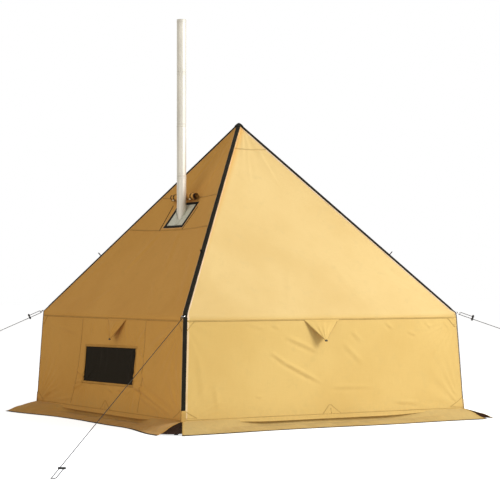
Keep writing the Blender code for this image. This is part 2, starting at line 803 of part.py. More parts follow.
def make_window(finishes):
    """The window's net in its hole, and the binding that laps the hole's edge."""
    out = SIDES["window"]
    top = SEAM_HEIGHT - TOUCH_GAP
    recess = (CLOTH - WINDOW_NET) / 2
    shape = wall_surface(out, WALL_DRAW, None, None, top, lift=-recess)
    net = cloth("window_net", WALL_COLUMNS, WALL_ROWS, shape, out, finishes["net"], WINDOW_NET)
    combine(net, window_block("window_net_keep", -DOOR_GAP), "INTERSECT")
    lift = TOUCH_GAP + BINDING_THICKNESS
    shape = wall_surface(out, WALL_DRAW, None, None, top, lift=lift)
    binding = cloth(
        "window_binding", WALL_COLUMNS, WALL_ROWS, shape, out, finishes["canvas"], BINDING_THICKNESS
    )
    combine(binding, window_block("binding_keep", BINDING_WIDTH - BINDING_LAP), "INTERSECT")
    combine(binding, window_block("binding_cut", -BINDING_LAP), "DIFFERENCE")


def make_stove_jack(finishes):
    """The heat-proof panel round the pipe, its border and its rolled-up cover."""
    out = SIDES["window"]
    outward = roof_normal(out)
    shape = roof_surface(out, ROOF_SAG)
    columns, rows = ROOF_COLUMNS, ROOF_ROWS
    panel = cloth("stove_jack", columns, rows, shape, outward, finishes["glass_cloth"], JACK_SHEET)
    combine(panel, jack_block("jack_keep", -DOOR_GAP), "INTERSECT")
    hole = PIPE_RADIUS + PIPE_HOLE_GAP
    foot = over_pipe(out) - UP * JACK_LENGTH
    cutter = rod("pipe_hole", hole, foot, UP, 2 * JACK_LENGTH, PIPE_SEGMENTS)
    combine(panel, cutter, "DIFFERENCE")
    lift = TOUCH_GAP + BINDING_THICKNESS
    shape = roof_surface(out, ROOF_SAG, lift=lift)
    border = cloth("jack_border", columns, rows, shape, outward, finishes["webbing"], BINDING_THICKNESS)
    combine(border, jack_block("border_keep", BINDING_WIDTH - BINDING_LAP), "INTERSECT")
    combine(border, jack_block("border_cut", -BINDING_LAP), "DIFFERENCE")

    centre = over_pipe(out)
    reach = centre.dot(out) - PIPE_RADIUS - ROLL_RADIUS - ROLL_PIPE_GAP
    start = centre.dot(along(out)) + ROLL_SHIFT - ROLL_LENGTH / 2
    lift = 0.0
    for _ in range(ROLL_PASSES):
        height = roof_height(out, reach - outward.dot(out) * lift)
        down = (PEAK_HEIGHT - height) / (PEAK_HEIGHT - EAVE_HEIGHT)
        falls = []
        for across in (start, start + ROLL_LENGTH):
            bow = 1 - (across / (down * EAVE_SIDE / 2)) ** 2
            falls.append(bow * (ROOF_SAG * math.sin(math.pi * down) + EAVE_DIP * down * outward.z))
        lift = ROLL_RADIUS / math.cos(math.pi / ROUND_SEGMENTS) + ROLL_SEAT - min(falls)
    foot = roof_place(out, start, height) + outward * lift
    rod("jack_cover_roll", ROLL_RADIUS, foot, along(out), ROLL_LENGTH, ROUND_SEGMENTS, finishes["canvas"])


def make_flaps(finishes):
    """Tie-out flaps: creased triangles that hang out from the eave seam, with a toggle."""
    for side, middle in FLAP_ACROSS.items():
        out = SIDES[side]
        hinge_height = SEAM_HEIGHT - FLAP_DROP
        top = wall_point(out, middle, hinge_height, lift=TOUCH_GAP)
        down = out * math.sin(FLAP_STAND) - UP * math.cos(FLAP_STAND)
        face = out * math.cos(FLAP_STAND) + UP * math.sin(FLAP_STAND)
        half = along(out) * (FLAP_WIDTH / 2)
        lift = face * FLAP_THICKNESS
        tip = top + down * FLAP_LENGTH
        ridge = top + down * (FLAP_LENGTH / 2) + face * FLAP_CREASE
        bm = bmesh.new()
        outline = [top - half, top, top + half, tip]
        verts = [bm.verts.new(point + lift) for point in outline]
        middle_vert = bm.verts.new(ridge + lift)
        bm.faces.new((verts[0], verts[1], middle_vert))
        bm.faces.new((verts[1], verts[2], middle_vert))
        bm.faces.new((verts[2], verts[3], middle_vert))
        bm.faces.new((verts[3], verts[0], middle_vert))
        bm.normal_update()
        if sum((part.normal for part in bm.faces), Vector()).dot(face) < 0:
            bmesh.ops.reverse_faces(bm, faces=bm.faces)
        flap = place(f"tie_out_flap_{side}", bm, finishes["canvas"])
        solid = flap.modifiers.new("Thickness", "SOLIDIFY")
        solid.thickness = FLAP_THICKNESS
        solid.offset = -1
        foot = tip + face * (FLAP_THICKNESS / 2) - along(out) * (TOGGLE_LENGTH / 2)
        toggle = rod(
            f"{side}_toggle", TOGGLE_RADIUS, foot, along(out), TOGGLE_LENGTH, ROUND_SEGMENTS // 2
        )
        combine(flap, toggle, "UNION")


def make_poles(finishes):
    """The centre pole in two sections on a rubber foot, and a pole inside each wall corner."""
    x, y = PEAK_SHIFT_X, PEAK_SHIFT_Y
    bore = POLE_UPPER_RADIUS + POLE_FIT
    socket_floor = POLE_SPLIT - POLE_SOCKET
    foot_profile = [
        (0, 0), (FOOT_RADIUS, 0), (FOOT_RADIUS * FOOT_TOP_SHARE, FOOT_HEIGHT),
        (POLE_RADIUS + TOUCH_GAP, FOOT_HEIGHT), (POLE_RADIUS + TOUCH_GAP, FOOT_SEAT), (0, FOOT_SEAT),
    ]
    turned("pole_foot", foot_profile, (x, y, 0), UP, ROUND_SEGMENTS, finishes["rubber"], closed=False)
    base = FOOT_SEAT + TOUCH_GAP
    lower_profile = [
        (0, base), (POLE_RADIUS, base), (POLE_RADIUS, POLE_SPLIT),
        (bore, POLE_SPLIT), (bore, socket_floor), (0, socket_floor),
    ]
    turned("pole_lower", lower_profile, (x, y, 0), UP, ROUND_SEGMENTS, finishes["aluminium"], closed=False)
    start = socket_floor + TOUCH_GAP
    tip = PEAK_HEIGHT - CAP_DROP - TOUCH_GAP
    metal = finishes["aluminium"]
    rod("pole_upper", POLE_UPPER_RADIUS, (x, y, start), UP, tip - start, ROUND_SEGMENTS, metal)
    height = EAVE_HEIGHT - CORNER_POLE_DROP
    inset = wall_reach(height) - CLOTH - CORNER_POLE_RADIUS - TOUCH_GAP
    for corner, (first, second) in CORNERS.items():
        spot = (SIDES[first] + SIDES[second]) * inset
        rod(
            f"corner_pole_{corner}", CORNER_POLE_RADIUS, spot, UP, height,
            ROUND_SEGMENTS // 2, finishes["aluminium"],
        )


def pipe_joint(index):
    """The height of the lower shoulder of a pipe section, counted from the stove's collar up."""
    collar_top = STOVE_FLOOR + STOVE_HEIGHT + COLLAR_HEIGHT
    return collar_top + (PIPE_TOP - collar_top) * index / PIPE_COUNT


def make_pipe(finishes):
    """Pipe sections, each with a spigot that drops into the section or collar below."""
    spigot = PIPE_RADIUS - PIPE_WALL - PIPE_FIT
    for index in range(PIPE_COUNT):
        low = pipe_joint(index) + TOUCH_GAP
        high = pipe_joint(index + 1)
        profile = [
            (PIPE_RADIUS, low), (PIPE_RADIUS, high), (PIPE_RADIUS - PIPE_WALL, high),
            (PIPE_RADIUS - PIPE_WALL, low + PIPE_WALL * 2), (spigot - PIPE_WALL, low - TOUCH_GAP),
            (spigot - PIPE_WALL, low - PIPE_SPIGOT), (spigot, low - PIPE_SPIGOT), (spigot, low),
        ]
        name = f"pipe_section_{index + 1}"
        pipe = turned(name, profile, (PIPE_X, PIPE_Y, 0), UP, PIPE_SEGMENTS, finishes["pipe_steel"])
        if index == 0:
            foot = (PIPE_X, PIPE_Y - 2 * PIPE_RADIUS, pipe_joint(0) + DAMPER_RISE)
            hole = DAMPER_ROD + DAMPER_ROD_GAP
            cutter = rod("damper_holes", hole, foot, (0, 1, 0), 4 * PIPE_RADIUS, ROUND_SEGMENTS // 2)
            combine(pipe, cutter, "DIFFERENCE")


def make_damper(finishes):
    """A butterfly plate on a rod, with a bent handle outside the pipe."""
    centre = Vector((PIPE_X, PIPE_Y, pipe_joint(0) + DAMPER_RISE))
    across = Vector((0, 1, 0))
    start = centre + across * (PIPE_RADIUS + DAMPER_HANDLE_GAP)
    length = 2 * PIPE_RADIUS + 2 * DAMPER_HANDLE_GAP
    metal = finishes["stove_steel"]
    damper = rod("pipe_damper", DAMPER_ROD, start, -across, length, ROUND_SEGMENTS // 2, metal)
    foot = centre - Vector((DAMPER_PLATE / 2, 0, 0))
    plate = rod("damper_plate", DAMPER_RADIUS, foot, (1, 0, 0), DAMPER_PLATE, PIPE_SEGMENTS)
    combine(damper, plate, "UNION")
    end = centre - across * (PIPE_RADIUS + DAMPER_HANDLE_GAP) + UP * (DAMPER_HANDLE / 2)
    sizes = (DAMPER_ROD * 2, DAMPER_ROD * 2, DAMPER_HANDLE)
    handle = block("damper_handle", end, (Vector((1, 0, 0)), across, UP), sizes)
    combine(damper, handle, "UNION")


def stove_span():
    """The stove body's back, front, floor and roof."""
    back = PIPE_X - STOVE_BACK
    return back, back + STOVE_LENGTH, STOVE_FLOOR, STOVE_FLOOR + STOVE_HEIGHT


def make_stove_body(finishes):
    """The firebox: a shell with a mouth in front and a collar for the pipe on top."""
    back, front, floor, roof = stove_span()
    axes = (Vector((1, 0, 0)), Vector((0, 1, 0)), UP)
    centre = Vector(((back + front) / 2, PIPE_Y, (floor + roof) / 2))
    sizes = (STOVE_LENGTH, STOVE_WIDTH, STOVE_HEIGHT)
    body = block("stove_body", centre, axes, sizes, finishes["stove_steel"])
    inside = [size - 2 * STOVE_WALL for size in sizes]
    combine(body, block("firebox_cut", centre, axes, inside), "DIFFERENCE")
    mouth = Vector((front, PIPE_Y, floor + MOUTH_SILL + MOUTH_HEIGHT / 2))
    sizes = (4 * STOVE_WALL, MOUTH_WIDTH, MOUTH_HEIGHT)
    combine(body, block("mouth_cut", mouth, axes, sizes), "DIFFERENCE")
    profile = [
        (PIPE_RADIUS, -COLLAR_BOTTOM_LAP), (PIPE_RADIUS, COLLAR_HEIGHT),
        (PIPE_RADIUS - PIPE_WALL, COLLAR_HEIGHT), (PIPE_RADIUS - PIPE_WALL, -COLLAR_BOTTOM_LAP),
    ]
    foot = (PIPE_X, PIPE_Y, roof)
    combine(body, turned("flue_collar", profile, foot, UP, PIPE_SEGMENTS), "UNION")
    bore = PIPE_RADIUS - PIPE_WALL
    below = (PIPE_X, PIPE_Y, roof - 3 * STOVE_WALL)
    cutter = rod("flue_cut", bore, below, UP, 6 * STOVE_WALL, PIPE_SEGMENTS)
    combine(body, cutter, "DIFFERENCE")


def make_stove_legs(finishes):
    """The leg frame: a top ring on four legs, cut from one block."""
    back, front, floor, _ = stove_span()
    axes = (Vector((1, 0, 0)), Vector((0, 1, 0)), UP)
    length = STOVE_LENGTH - 2 * LEG_INSET
    width = STOVE_WIDTH - 2 * LEG_INSET
    height = floor - TOUCH_GAP
    centre = Vector(((back + front) / 2, PIPE_Y, height / 2))
    legs = block("stove_legs", centre, axes, (length, width, height), finishes["stove_steel"])
    inner = (length - 2 * LEG_SIZE, width - 2 * LEG_SIZE, 2 * height)
    combine(legs, block("legs_inner_cut", centre, axes, inner), "DIFFERENCE")
    low = Vector((centre.x, centre.y, (height - LEG_RAIL) / 2 - CUT_OVERRUN / 2))
    drop = height - LEG_RAIL + CUT_OVERRUN
    ends = (2 * length, width - 2 * LEG_SIZE, drop)
    sides = (length - 2 * LEG_SIZE, 2 * width, drop)
    combine(legs, block("legs_end_cut", low, axes, ends), "DIFFERENCE")
    combine(legs, block("legs_side_cut", low, axes, sides), "DIFFERENCE")


def stove_door_frame():
    """The stove door's middle on the front face, and its half width and height."""
    _, front, floor, _ = stove_span()
    middle = Vector((front + TOUCH_GAP, PIPE_Y, floor + MOUTH_SILL + MOUTH_HEIGHT / 2))
    return middle, MOUTH_WIDTH / 2 + STOVE_DOOR_LAP, MOUTH_HEIGHT / 2 + STOVE_DOOR_LAP


def make_stove_door(finishes):
    """The stove's door, with a barrel along its hinge edge, a vent slot and the latch's hole."""
    middle, half_width, half_height = stove_door_frame()
    out = Vector((1, 0, 0))
    across = Vector((0, 1, 0))
    axes = (out, across, UP)
    centre = middle + out * (STOVE_DOOR_SHEET / 2)
    sizes = (STOVE_DOOR_SHEET, 2 * half_width, 2 * half_height)
    door = block("stove_door", centre, axes, sizes, finishes["stove_steel"])
    barrel = stove_hinge_point() - UP * half_height
    hinge = rod("door_barrel", HINGE_RADIUS, barrel, UP, 2 * half_height, ROUND_SEGMENTS // 2)
    combine(door, hinge, "UNION")
    slot = vent_point()
    sizes = (4 * STOVE_DOOR_SHEET, VENT_SLOT_LENGTH, VENT_SLOT)
    combine(door, block("vent_slot", slot, axes, sizes), "DIFFERENCE")
    for way in (-1, 1):
        height = slot.z + way * (VENT_HEIGHT / 2 + TOUCH_GAP + VENT_RAIL / 2)
        rail = Vector((centre.x + STOVE_DOOR_SHEET / 2 + VENT_SHEET / 2, slot.y, height))
        sizes = (VENT_SHEET * 2, VENT_WIDTH + 2 * VENT_TRAVEL, VENT_RAIL)
        combine(door, block(f"vent_rail_{way + 1}", rail, axes, sizes), "UNION")
    pin = LATCH_PIN + LATCH_PIN_GAP
    foot = latch_point() - out * (3 * STOVE_DOOR_SHEET)
    cutter = rod("latch_hole", pin, foot, out, 6 * STOVE_DOOR_SHEET, ROUND_SEGMENTS // 2)
    combine(door, cutter, "DIFFERENCE")


def stove_hinge_point():
    """The stove door's hinge axis, at its -Y edge and clear of the stove's front."""
    middle, half_width, _ = stove_door_frame()
    return middle + Vector((HINGE_RADIUS + TOUCH_GAP, -half_width - HINGE_RADIUS / 2, 0))


def latch_point():
    """The latch's pivot in the stove door, near the free edge."""
    middle, half_width, _ = stove_door_frame()
    return middle + Vector((STOVE_DOOR_SHEET, half_width - LATCH_INSET, 0))


def vent_point():
    """The middle of the vent slot in the stove door's outer face."""
    middle, _, half_height = stove_door_frame()
    return middle + Vector((STOVE_DOOR_SHEET, 0, VENT_DROP - half_height))


def make_latch(finishes):
    """The latch: a lever on a pin through the stove door."""
    pivot = latch_point()
    out = Vector((1, 0, 0))
    across = Vector((0, 1, 0))
    gap = out * TOUCH_GAP
    centre = pivot + gap + out * (LATCH_THICKNESS / 2) - UP * (LATCH_LENGTH / 2 - LATCH_WIDTH / 2)
    sizes = (LATCH_THICKNESS, LATCH_WIDTH, LATCH_LENGTH)
    latch = block("stove_latch", centre, (out, across, UP), sizes, finishes["stove_steel"])
    foot = pivot - out * (STOVE_DOOR_SHEET - TOUCH_GAP)
    length = STOVE_DOOR_SHEET + LATCH_THICKNESS / 2
    pin = rod("latch_pin", LATCH_PIN, foot, out, length, ROUND_SEGMENTS // 2)
    combine(latch, pin, "UNION")


def make_vent(finishes):
    """The air vent's slide, between the rails on the stove door."""
    slot = vent_point()
    out = Vector((1, 0, 0))
    across = Vector((0, 1, 0))
    axes = (out, across, UP)
    centre = slot + out * (TOUCH_GAP + VENT_SHEET / 2)
    vent = block("stove_vent", centre, axes, (VENT_SHEET, VENT_WIDTH, VENT_HEIGHT), finishes["pipe_steel"])
    foot = centre + across * (VENT_WIDTH * KNOB_SHARE)
    knob = rod("vent_knob", VENT_KNOB / 2, foot, out, VENT_KNOB, ROUND_SEGMENTS // 2)
    combine(vent, knob, "UNION")


def build():
    for thing in list(bpy.data.objects):
        bpy.data.objects.remove(thing)
    finishes = make_materials()
    make_roof(finishes)
    make_walls(finishes)
    make_skirts(finishes)
    make_straps(finishes)
    make_peak_cap(finishes)
    make_rings(finishes)
    make_door(finishes)
    make_window(finishes)
    make_stove_jack(finishes)
    make_flaps(finishes)
    make_poles(finishes)
    make_pipe(finishes)
    make_damper(finishes)
    make_stove_body(finishes)
    make_stove_legs(finishes)
    make_stove_door(finishes)
    make_latch(finishes)
    make_vent(finishes)
    make_ropes(finishes)
    make_sliders(finishes)


build()
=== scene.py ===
# Hot tent: the looks of its cloth, webbing, window, stove pipe and ropes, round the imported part.
# Metres, +Z up. The photographed corner is at (-X, -Y); the window and the stove jack are on -X.
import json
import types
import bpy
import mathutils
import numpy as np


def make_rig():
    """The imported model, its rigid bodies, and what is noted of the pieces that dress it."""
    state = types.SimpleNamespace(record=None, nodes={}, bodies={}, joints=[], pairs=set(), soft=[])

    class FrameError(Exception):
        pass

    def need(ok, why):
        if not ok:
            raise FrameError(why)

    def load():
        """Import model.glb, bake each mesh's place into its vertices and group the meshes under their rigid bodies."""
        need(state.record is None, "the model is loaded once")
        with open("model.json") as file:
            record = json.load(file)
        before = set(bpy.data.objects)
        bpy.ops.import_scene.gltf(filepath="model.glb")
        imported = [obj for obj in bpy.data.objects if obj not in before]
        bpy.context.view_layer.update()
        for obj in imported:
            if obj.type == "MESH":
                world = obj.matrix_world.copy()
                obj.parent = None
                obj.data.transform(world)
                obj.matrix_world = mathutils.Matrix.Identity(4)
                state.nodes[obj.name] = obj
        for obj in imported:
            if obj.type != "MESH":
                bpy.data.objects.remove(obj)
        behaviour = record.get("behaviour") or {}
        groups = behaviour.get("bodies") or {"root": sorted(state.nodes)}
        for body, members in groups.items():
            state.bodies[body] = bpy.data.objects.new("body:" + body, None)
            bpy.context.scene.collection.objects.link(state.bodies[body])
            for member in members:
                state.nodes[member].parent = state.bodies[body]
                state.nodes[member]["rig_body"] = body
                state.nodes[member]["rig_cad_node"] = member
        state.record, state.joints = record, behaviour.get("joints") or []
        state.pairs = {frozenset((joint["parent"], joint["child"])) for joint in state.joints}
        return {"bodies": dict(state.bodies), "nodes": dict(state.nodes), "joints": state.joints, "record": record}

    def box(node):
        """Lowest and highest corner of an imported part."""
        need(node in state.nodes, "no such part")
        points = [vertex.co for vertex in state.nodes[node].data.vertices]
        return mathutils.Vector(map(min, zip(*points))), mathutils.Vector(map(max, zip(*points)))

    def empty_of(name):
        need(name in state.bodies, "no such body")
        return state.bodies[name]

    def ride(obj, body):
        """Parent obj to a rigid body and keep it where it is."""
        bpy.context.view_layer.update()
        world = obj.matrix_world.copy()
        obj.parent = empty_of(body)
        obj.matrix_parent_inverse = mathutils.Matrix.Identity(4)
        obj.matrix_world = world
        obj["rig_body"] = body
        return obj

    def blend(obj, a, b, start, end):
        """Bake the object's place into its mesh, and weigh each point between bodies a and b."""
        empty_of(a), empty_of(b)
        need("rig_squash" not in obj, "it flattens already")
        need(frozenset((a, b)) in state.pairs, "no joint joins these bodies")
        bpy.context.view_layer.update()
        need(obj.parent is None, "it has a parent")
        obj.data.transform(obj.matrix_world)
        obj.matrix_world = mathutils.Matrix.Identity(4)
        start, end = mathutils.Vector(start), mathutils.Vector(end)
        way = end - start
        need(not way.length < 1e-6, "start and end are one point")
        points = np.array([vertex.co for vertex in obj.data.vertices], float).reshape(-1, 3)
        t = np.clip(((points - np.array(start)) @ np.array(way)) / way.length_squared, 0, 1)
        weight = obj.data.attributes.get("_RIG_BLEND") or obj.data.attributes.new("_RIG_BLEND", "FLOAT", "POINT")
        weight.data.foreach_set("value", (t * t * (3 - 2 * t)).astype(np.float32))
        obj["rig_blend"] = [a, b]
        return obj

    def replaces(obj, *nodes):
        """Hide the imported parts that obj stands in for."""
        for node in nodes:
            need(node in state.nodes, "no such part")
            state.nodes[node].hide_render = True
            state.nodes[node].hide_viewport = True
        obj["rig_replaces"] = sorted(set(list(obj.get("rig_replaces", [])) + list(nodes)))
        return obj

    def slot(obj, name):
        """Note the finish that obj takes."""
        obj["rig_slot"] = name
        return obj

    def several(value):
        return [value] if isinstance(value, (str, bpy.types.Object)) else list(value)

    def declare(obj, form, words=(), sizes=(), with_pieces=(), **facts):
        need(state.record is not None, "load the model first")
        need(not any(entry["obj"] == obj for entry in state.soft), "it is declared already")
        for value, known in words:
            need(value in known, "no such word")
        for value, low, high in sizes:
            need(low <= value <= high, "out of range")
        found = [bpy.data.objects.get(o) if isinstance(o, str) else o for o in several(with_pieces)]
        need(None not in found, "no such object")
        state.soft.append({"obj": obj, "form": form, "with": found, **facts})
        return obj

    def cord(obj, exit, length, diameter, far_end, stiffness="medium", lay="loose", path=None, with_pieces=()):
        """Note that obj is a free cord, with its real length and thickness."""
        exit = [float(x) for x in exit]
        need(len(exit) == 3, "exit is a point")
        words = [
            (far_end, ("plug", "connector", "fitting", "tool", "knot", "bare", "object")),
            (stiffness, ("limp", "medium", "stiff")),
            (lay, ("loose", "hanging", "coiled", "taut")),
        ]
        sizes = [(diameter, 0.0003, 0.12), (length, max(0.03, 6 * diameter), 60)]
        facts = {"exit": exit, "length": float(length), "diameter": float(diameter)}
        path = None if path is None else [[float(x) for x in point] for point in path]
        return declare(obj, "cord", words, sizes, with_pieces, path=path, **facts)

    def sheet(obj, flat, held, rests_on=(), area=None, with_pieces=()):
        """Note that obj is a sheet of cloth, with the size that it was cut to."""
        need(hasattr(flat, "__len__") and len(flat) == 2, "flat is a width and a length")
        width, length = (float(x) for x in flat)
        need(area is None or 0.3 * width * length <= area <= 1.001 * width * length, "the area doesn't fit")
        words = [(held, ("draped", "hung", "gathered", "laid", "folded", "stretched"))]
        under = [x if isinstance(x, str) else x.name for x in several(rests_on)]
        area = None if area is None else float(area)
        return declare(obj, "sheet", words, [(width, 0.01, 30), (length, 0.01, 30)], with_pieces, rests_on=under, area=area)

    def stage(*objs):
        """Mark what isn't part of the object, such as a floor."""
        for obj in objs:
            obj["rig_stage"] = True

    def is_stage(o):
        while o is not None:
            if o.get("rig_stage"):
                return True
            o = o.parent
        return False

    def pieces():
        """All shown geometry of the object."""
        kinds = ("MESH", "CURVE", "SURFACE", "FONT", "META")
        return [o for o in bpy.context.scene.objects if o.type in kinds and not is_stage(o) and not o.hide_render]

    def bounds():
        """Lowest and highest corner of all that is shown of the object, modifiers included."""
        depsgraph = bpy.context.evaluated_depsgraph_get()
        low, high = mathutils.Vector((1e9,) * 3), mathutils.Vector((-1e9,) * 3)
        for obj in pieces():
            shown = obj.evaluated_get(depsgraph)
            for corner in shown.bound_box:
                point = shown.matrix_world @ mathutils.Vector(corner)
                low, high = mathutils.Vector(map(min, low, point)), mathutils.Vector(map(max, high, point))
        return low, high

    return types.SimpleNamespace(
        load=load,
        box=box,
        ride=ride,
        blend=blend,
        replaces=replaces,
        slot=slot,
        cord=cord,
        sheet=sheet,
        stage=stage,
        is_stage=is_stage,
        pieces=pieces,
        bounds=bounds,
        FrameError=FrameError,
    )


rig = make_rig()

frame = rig.load()

import json
import math

import bmesh
import bpy
from mathutils import Matrix, Vector

cad_box = [list(corner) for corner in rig.bounds()]

# Tent body
EAVE_HALF = 1.300
WALL_FLARE = 0.044
EAVE_HEIGHT = 0.892
SEAM_HEIGHT = 0.852
HEM_HEIGHT = 0.090
PEAK = Vector((-0.037, 0.022, 2.523))
CANVAS_THICKNESS = 0.0022
SHEET = {"sharp": 60, "thick": CANVAS_THICKNESS}
ROOF_SAG = 0.028
WALL_DRAW = 0.014
EAVE_DIP = 0.020

# Ropes
ROPE_DIAMETER = 0.005
RING_WIRE = 0.005
RING_HALF_WIDTH = 0.016
RING_REACH = 0.026
RING_SEAT = 0.012
RING_LOOP = 0.010
PEG_LOOP = 0.014
LOOP_RETURN = 0.060
LOOP_SEAT = {"near": 0.0009, "left": 0.0026, "right": 0.0012}
PEG_CLEARANCE = 0.0030
PEG_PLACES = {"near": (-3.440, -3.630), "left": (-3.180, 1.930), "right": (2.770, -3.620)}
SLIDER_PLACE = {"near": 0.150, "left": 0.100, "right": 0.110}
SLIDER_LENGTH = 0.016
SLIDER_GAP = 0.0003
# A slider's outline: places across it and half its length there
SLIDER_OUTLINE = ((-0.024, 0.00496), (-0.017, 0.008), (0.0, 0.00624), (0.017, 0.008), (0.024, 0.00496))
SLIDER_THICKNESS = 0.010
SLIDER_EYE = 0.0040
SLIDER_FACE = 0.0078
LASHING_TURNS = 6
LASHING_PITCH = 0.0016
LASHING_RADIUS = 0.0034
LASHING_SEATS = (0.006, 0.030)
THREAD_RADIUS = 0.0009
ROPE_SMOOTHING = 4

UP = Vector((0, 0, 1))
SIDES = {
    "front": Vector((0, -1, 0)),
    "window": Vector((-1, 0, 0)),
    "back": Vector((0, 1, 0)),
    "door": Vector((1, 0, 0)),
}
CORNERS = {
    "near": ("front", "window"),
    "left": ("window", "back"),
    "far": ("back", "door"),
    "right": ("door", "front"),
}


# Placing pieces

SOFT_ANGLE = math.radians(35)
# The slots of the finishes that share one; every other finish has a slot of its own name
SLOTS = {
    "skirt_canvas": "canvas", "seam": "canvas", "edge_strip": "canvas", "corner_gusset": "webbing",
    "skirt_binding": "webbing", "hook_tape": "webbing", "window_net": "net", "toggle_wood": "plastic",
    "slider_plastic": "plastic", "lashing": "rope",
}


def show(name, bm, finish, body="tent", stands_for=(), slot=None, sharp=40, thick=0.0):
    """Turns a bmesh into a shown piece that rides on a body; a sheet gets its thickness inwards."""
    mesh = bpy.data.meshes.new(name)
    bm.to_mesh(mesh)
    bm.free()
    mesh.materials.append(finish)
    mesh.shade_smooth()
    mesh.set_sharp_from_angle(angle=math.radians(sharp))
    thing = bpy.data.objects.new(name, mesh)
    bpy.context.scene.collection.objects.link(thing)
    if body:
        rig.ride(thing, body)
    if stands_for:
        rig.replaces(thing, *stands_for)
    stem = finish.name.split(".")[0]
    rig.slot(thing, slot or SLOTS.get(stem, stem))
    if thick:
        solid = thing.modifiers.new("Thickness", "SOLIDIFY")
        solid.thickness = thick
        solid.offset = -1
        solid.use_even_offset = True
    return thing


def soften(thing, width, segments=2):
    """Rounds the edges of a hard piece."""
    edge = thing.modifiers.new("Edge", "BEVEL")
    edge.width = width
    edge.segments = segments
    edge.limit_method = "ANGLE"
    edge.angle_limit = SOFT_ANGLE
    edge.harden_normals = False
    return thing


def faces_at(verts):
    """The faces at some points, each once, in an order that every run repeats."""
    return list(dict.fromkeys(face for vert in verts for face in vert.link_faces))


def edges_at(verts):
    """The edges at some points, each once, in such an order too."""
    return list(dict.fromkeys(edge for vert in verts for edge in vert.link_edges))


def lay(bm, columns, rows, shape, size, outward):
    """Lays a grid on a shape: across runs -1 to 1, down 0 to 1; its map is in metres."""
    layer = bm.loops.layers.uv.verify()
    made = bmesh.ops.create_grid(bm, x_segments=columns, y_segments=rows, size=1)["verts"]
    places = {}
    for vert in made:
        across, down = vert.co.x, (vert.co.y + 1) / 2
        places[vert] = (across * size[0] / 2, down * size[1])
        vert.co = shape(across, down)
    faces = faces_at(made)
    for face in faces:
        face.normal_update()
        for loop in face.loops:
            loop[layer].uv = places[loop.vert]
    if sum((face.normal for face in faces), Vector()).dot(outward) < 0:
        bmesh.ops.reverse_faces(bm, faces=faces)
    return faces


def placed(point, *ways):
    """The turn and shift that bring the three axes to three ways at a point."""
    turn = Matrix(ways).transposed().to_4x4()
    turn.translation = point
    return turn


def tube(bm, points, radius, sides, cyclic=False, stretch=1.0, flat_way=None):
    """A tube along a line of points; its map runs along it in metres and once round it."""
    layer = bm.loops.layers.uv.verify()
    count = len(points)
    spots, rings, length = {}, [], 0.0
    side = None
    for index, point in enumerate(points):
        before = points[index - 1] if index or cyclic else point
        after = points[(index + 1) % count] if index < count - 1 or cyclic else point
        way = (after - before).normalized()
        if side is None:
            side = flat_way or (UP if abs(way.z) < 0.9 else Vector((1, 0, 0)))
        side = (side - way * side.dot(way)).normalized()
        turn = placed(point, side, way.cross(side), way) @ Matrix.Diagonal((radius * stretch, radius, 1, 1))
        made = bmesh.ops.create_circle(bm, segments=sides, radius=1, matrix=turn)["verts"]
        if index:
            length += (point - points[index - 1]).length
        for number, vert in enumerate(made):
            spots[vert] = (length, number / sides)
        rings.append(made)
    faces = []
    for low, high in zip(rings, rings[1:] + rings[:1] if cyclic else rings[1:]):
        edges = dict.fromkeys(
            edge for ring in (low, high) for vert in ring for edge in vert.link_edges
            if edge.other_vert(vert) in ring
        )
        faces += bmesh.ops.bridge_loops(bm, edges=list(edges))["faces"]
    for face in faces:
        turns = [spots[loop.vert][1] for loop in face.loops]
        ends = [spots[loop.vert][0] for loop in face.loops]
        for loop in face.loops:
            along_it, round_it = spots[loop.vert]
            if max(turns) - min(turns) > 0.5 and round_it < 0.5:
                round_it += 1
            if cyclic and max(ends) - min(ends) > length / 2 and along_it == 0:
                along_it = length + (points[0] - points[-1]).length
            loop[layer].uv = (along_it, round_it)
    if not cyclic:
        for ring in (rings[0], rings[-1]):
            bmesh.ops.contextual_create(bm, geom=ring)
    bmesh.ops.recalc_face_normals(bm, faces=faces_at(vert for ring in rings for vert in ring))


def turned(bm, profile, foot, axis, segments):
    """A profile of (radius, height) points, turned about an axis through the foot."""
    verts = [bm.verts.new((radius, 0, height)) for radius, height in profile]
    edges = [bm.edges.new(pair) for pair in zip(verts, verts[1:])]
    bmesh.ops.spin(
        bm, geom=verts + edges, cent=(0, 0, 0), axis=UP, angle=math.tau, steps=segments, use_merge=True,
    )
    found = dict.fromkeys(verts)
    grow = list(verts)
    while grow:
        for edge in grow.pop().link_edges:
            for vert in edge.verts:
                if vert not in found:
                    found[vert] = True
                    grow.append(vert)
    turn = Vector(axis).to_track_quat("Z", "Y").to_matrix().to_4x4()
    bmesh.ops.transform(bm, matrix=Matrix.Translation(foot) @ turn, verts=list(found))
    bmesh.ops.remove_doubles(bm, verts=list(found), dist=1e-6)
    bmesh.ops.recalc_face_normals(bm, faces=faces_at(vert for vert in found if vert.is_valid))


def block(bm, centre, directions, sizes, cut, segments=2):
    """A box about its centre along three square directions, with rounded edges."""
    turn = placed(centre, *directions) @ Matrix.Diagonal((*sizes, 1))
    made = bmesh.ops.create_cube(bm, size=1, matrix=turn)["verts"]
    if Matrix(directions).determinant() < 0:
        bmesh.ops.reverse_faces(bm, faces=faces_at(made))
    bmesh.ops.bevel(
        bm, geom=edges_at(made), offset=cut, offset_type="OFFSET", segments=segments,
        profile=0.5, affect="EDGES", material=-1,
    )


def laid(name, finish, columns, rows, shape, size, outward, **how):
    """A piece of one grid."""
    bm = bmesh.new()
    lay(bm, columns, rows, shape, size, outward)
    return show(name, bm, finish, **how)


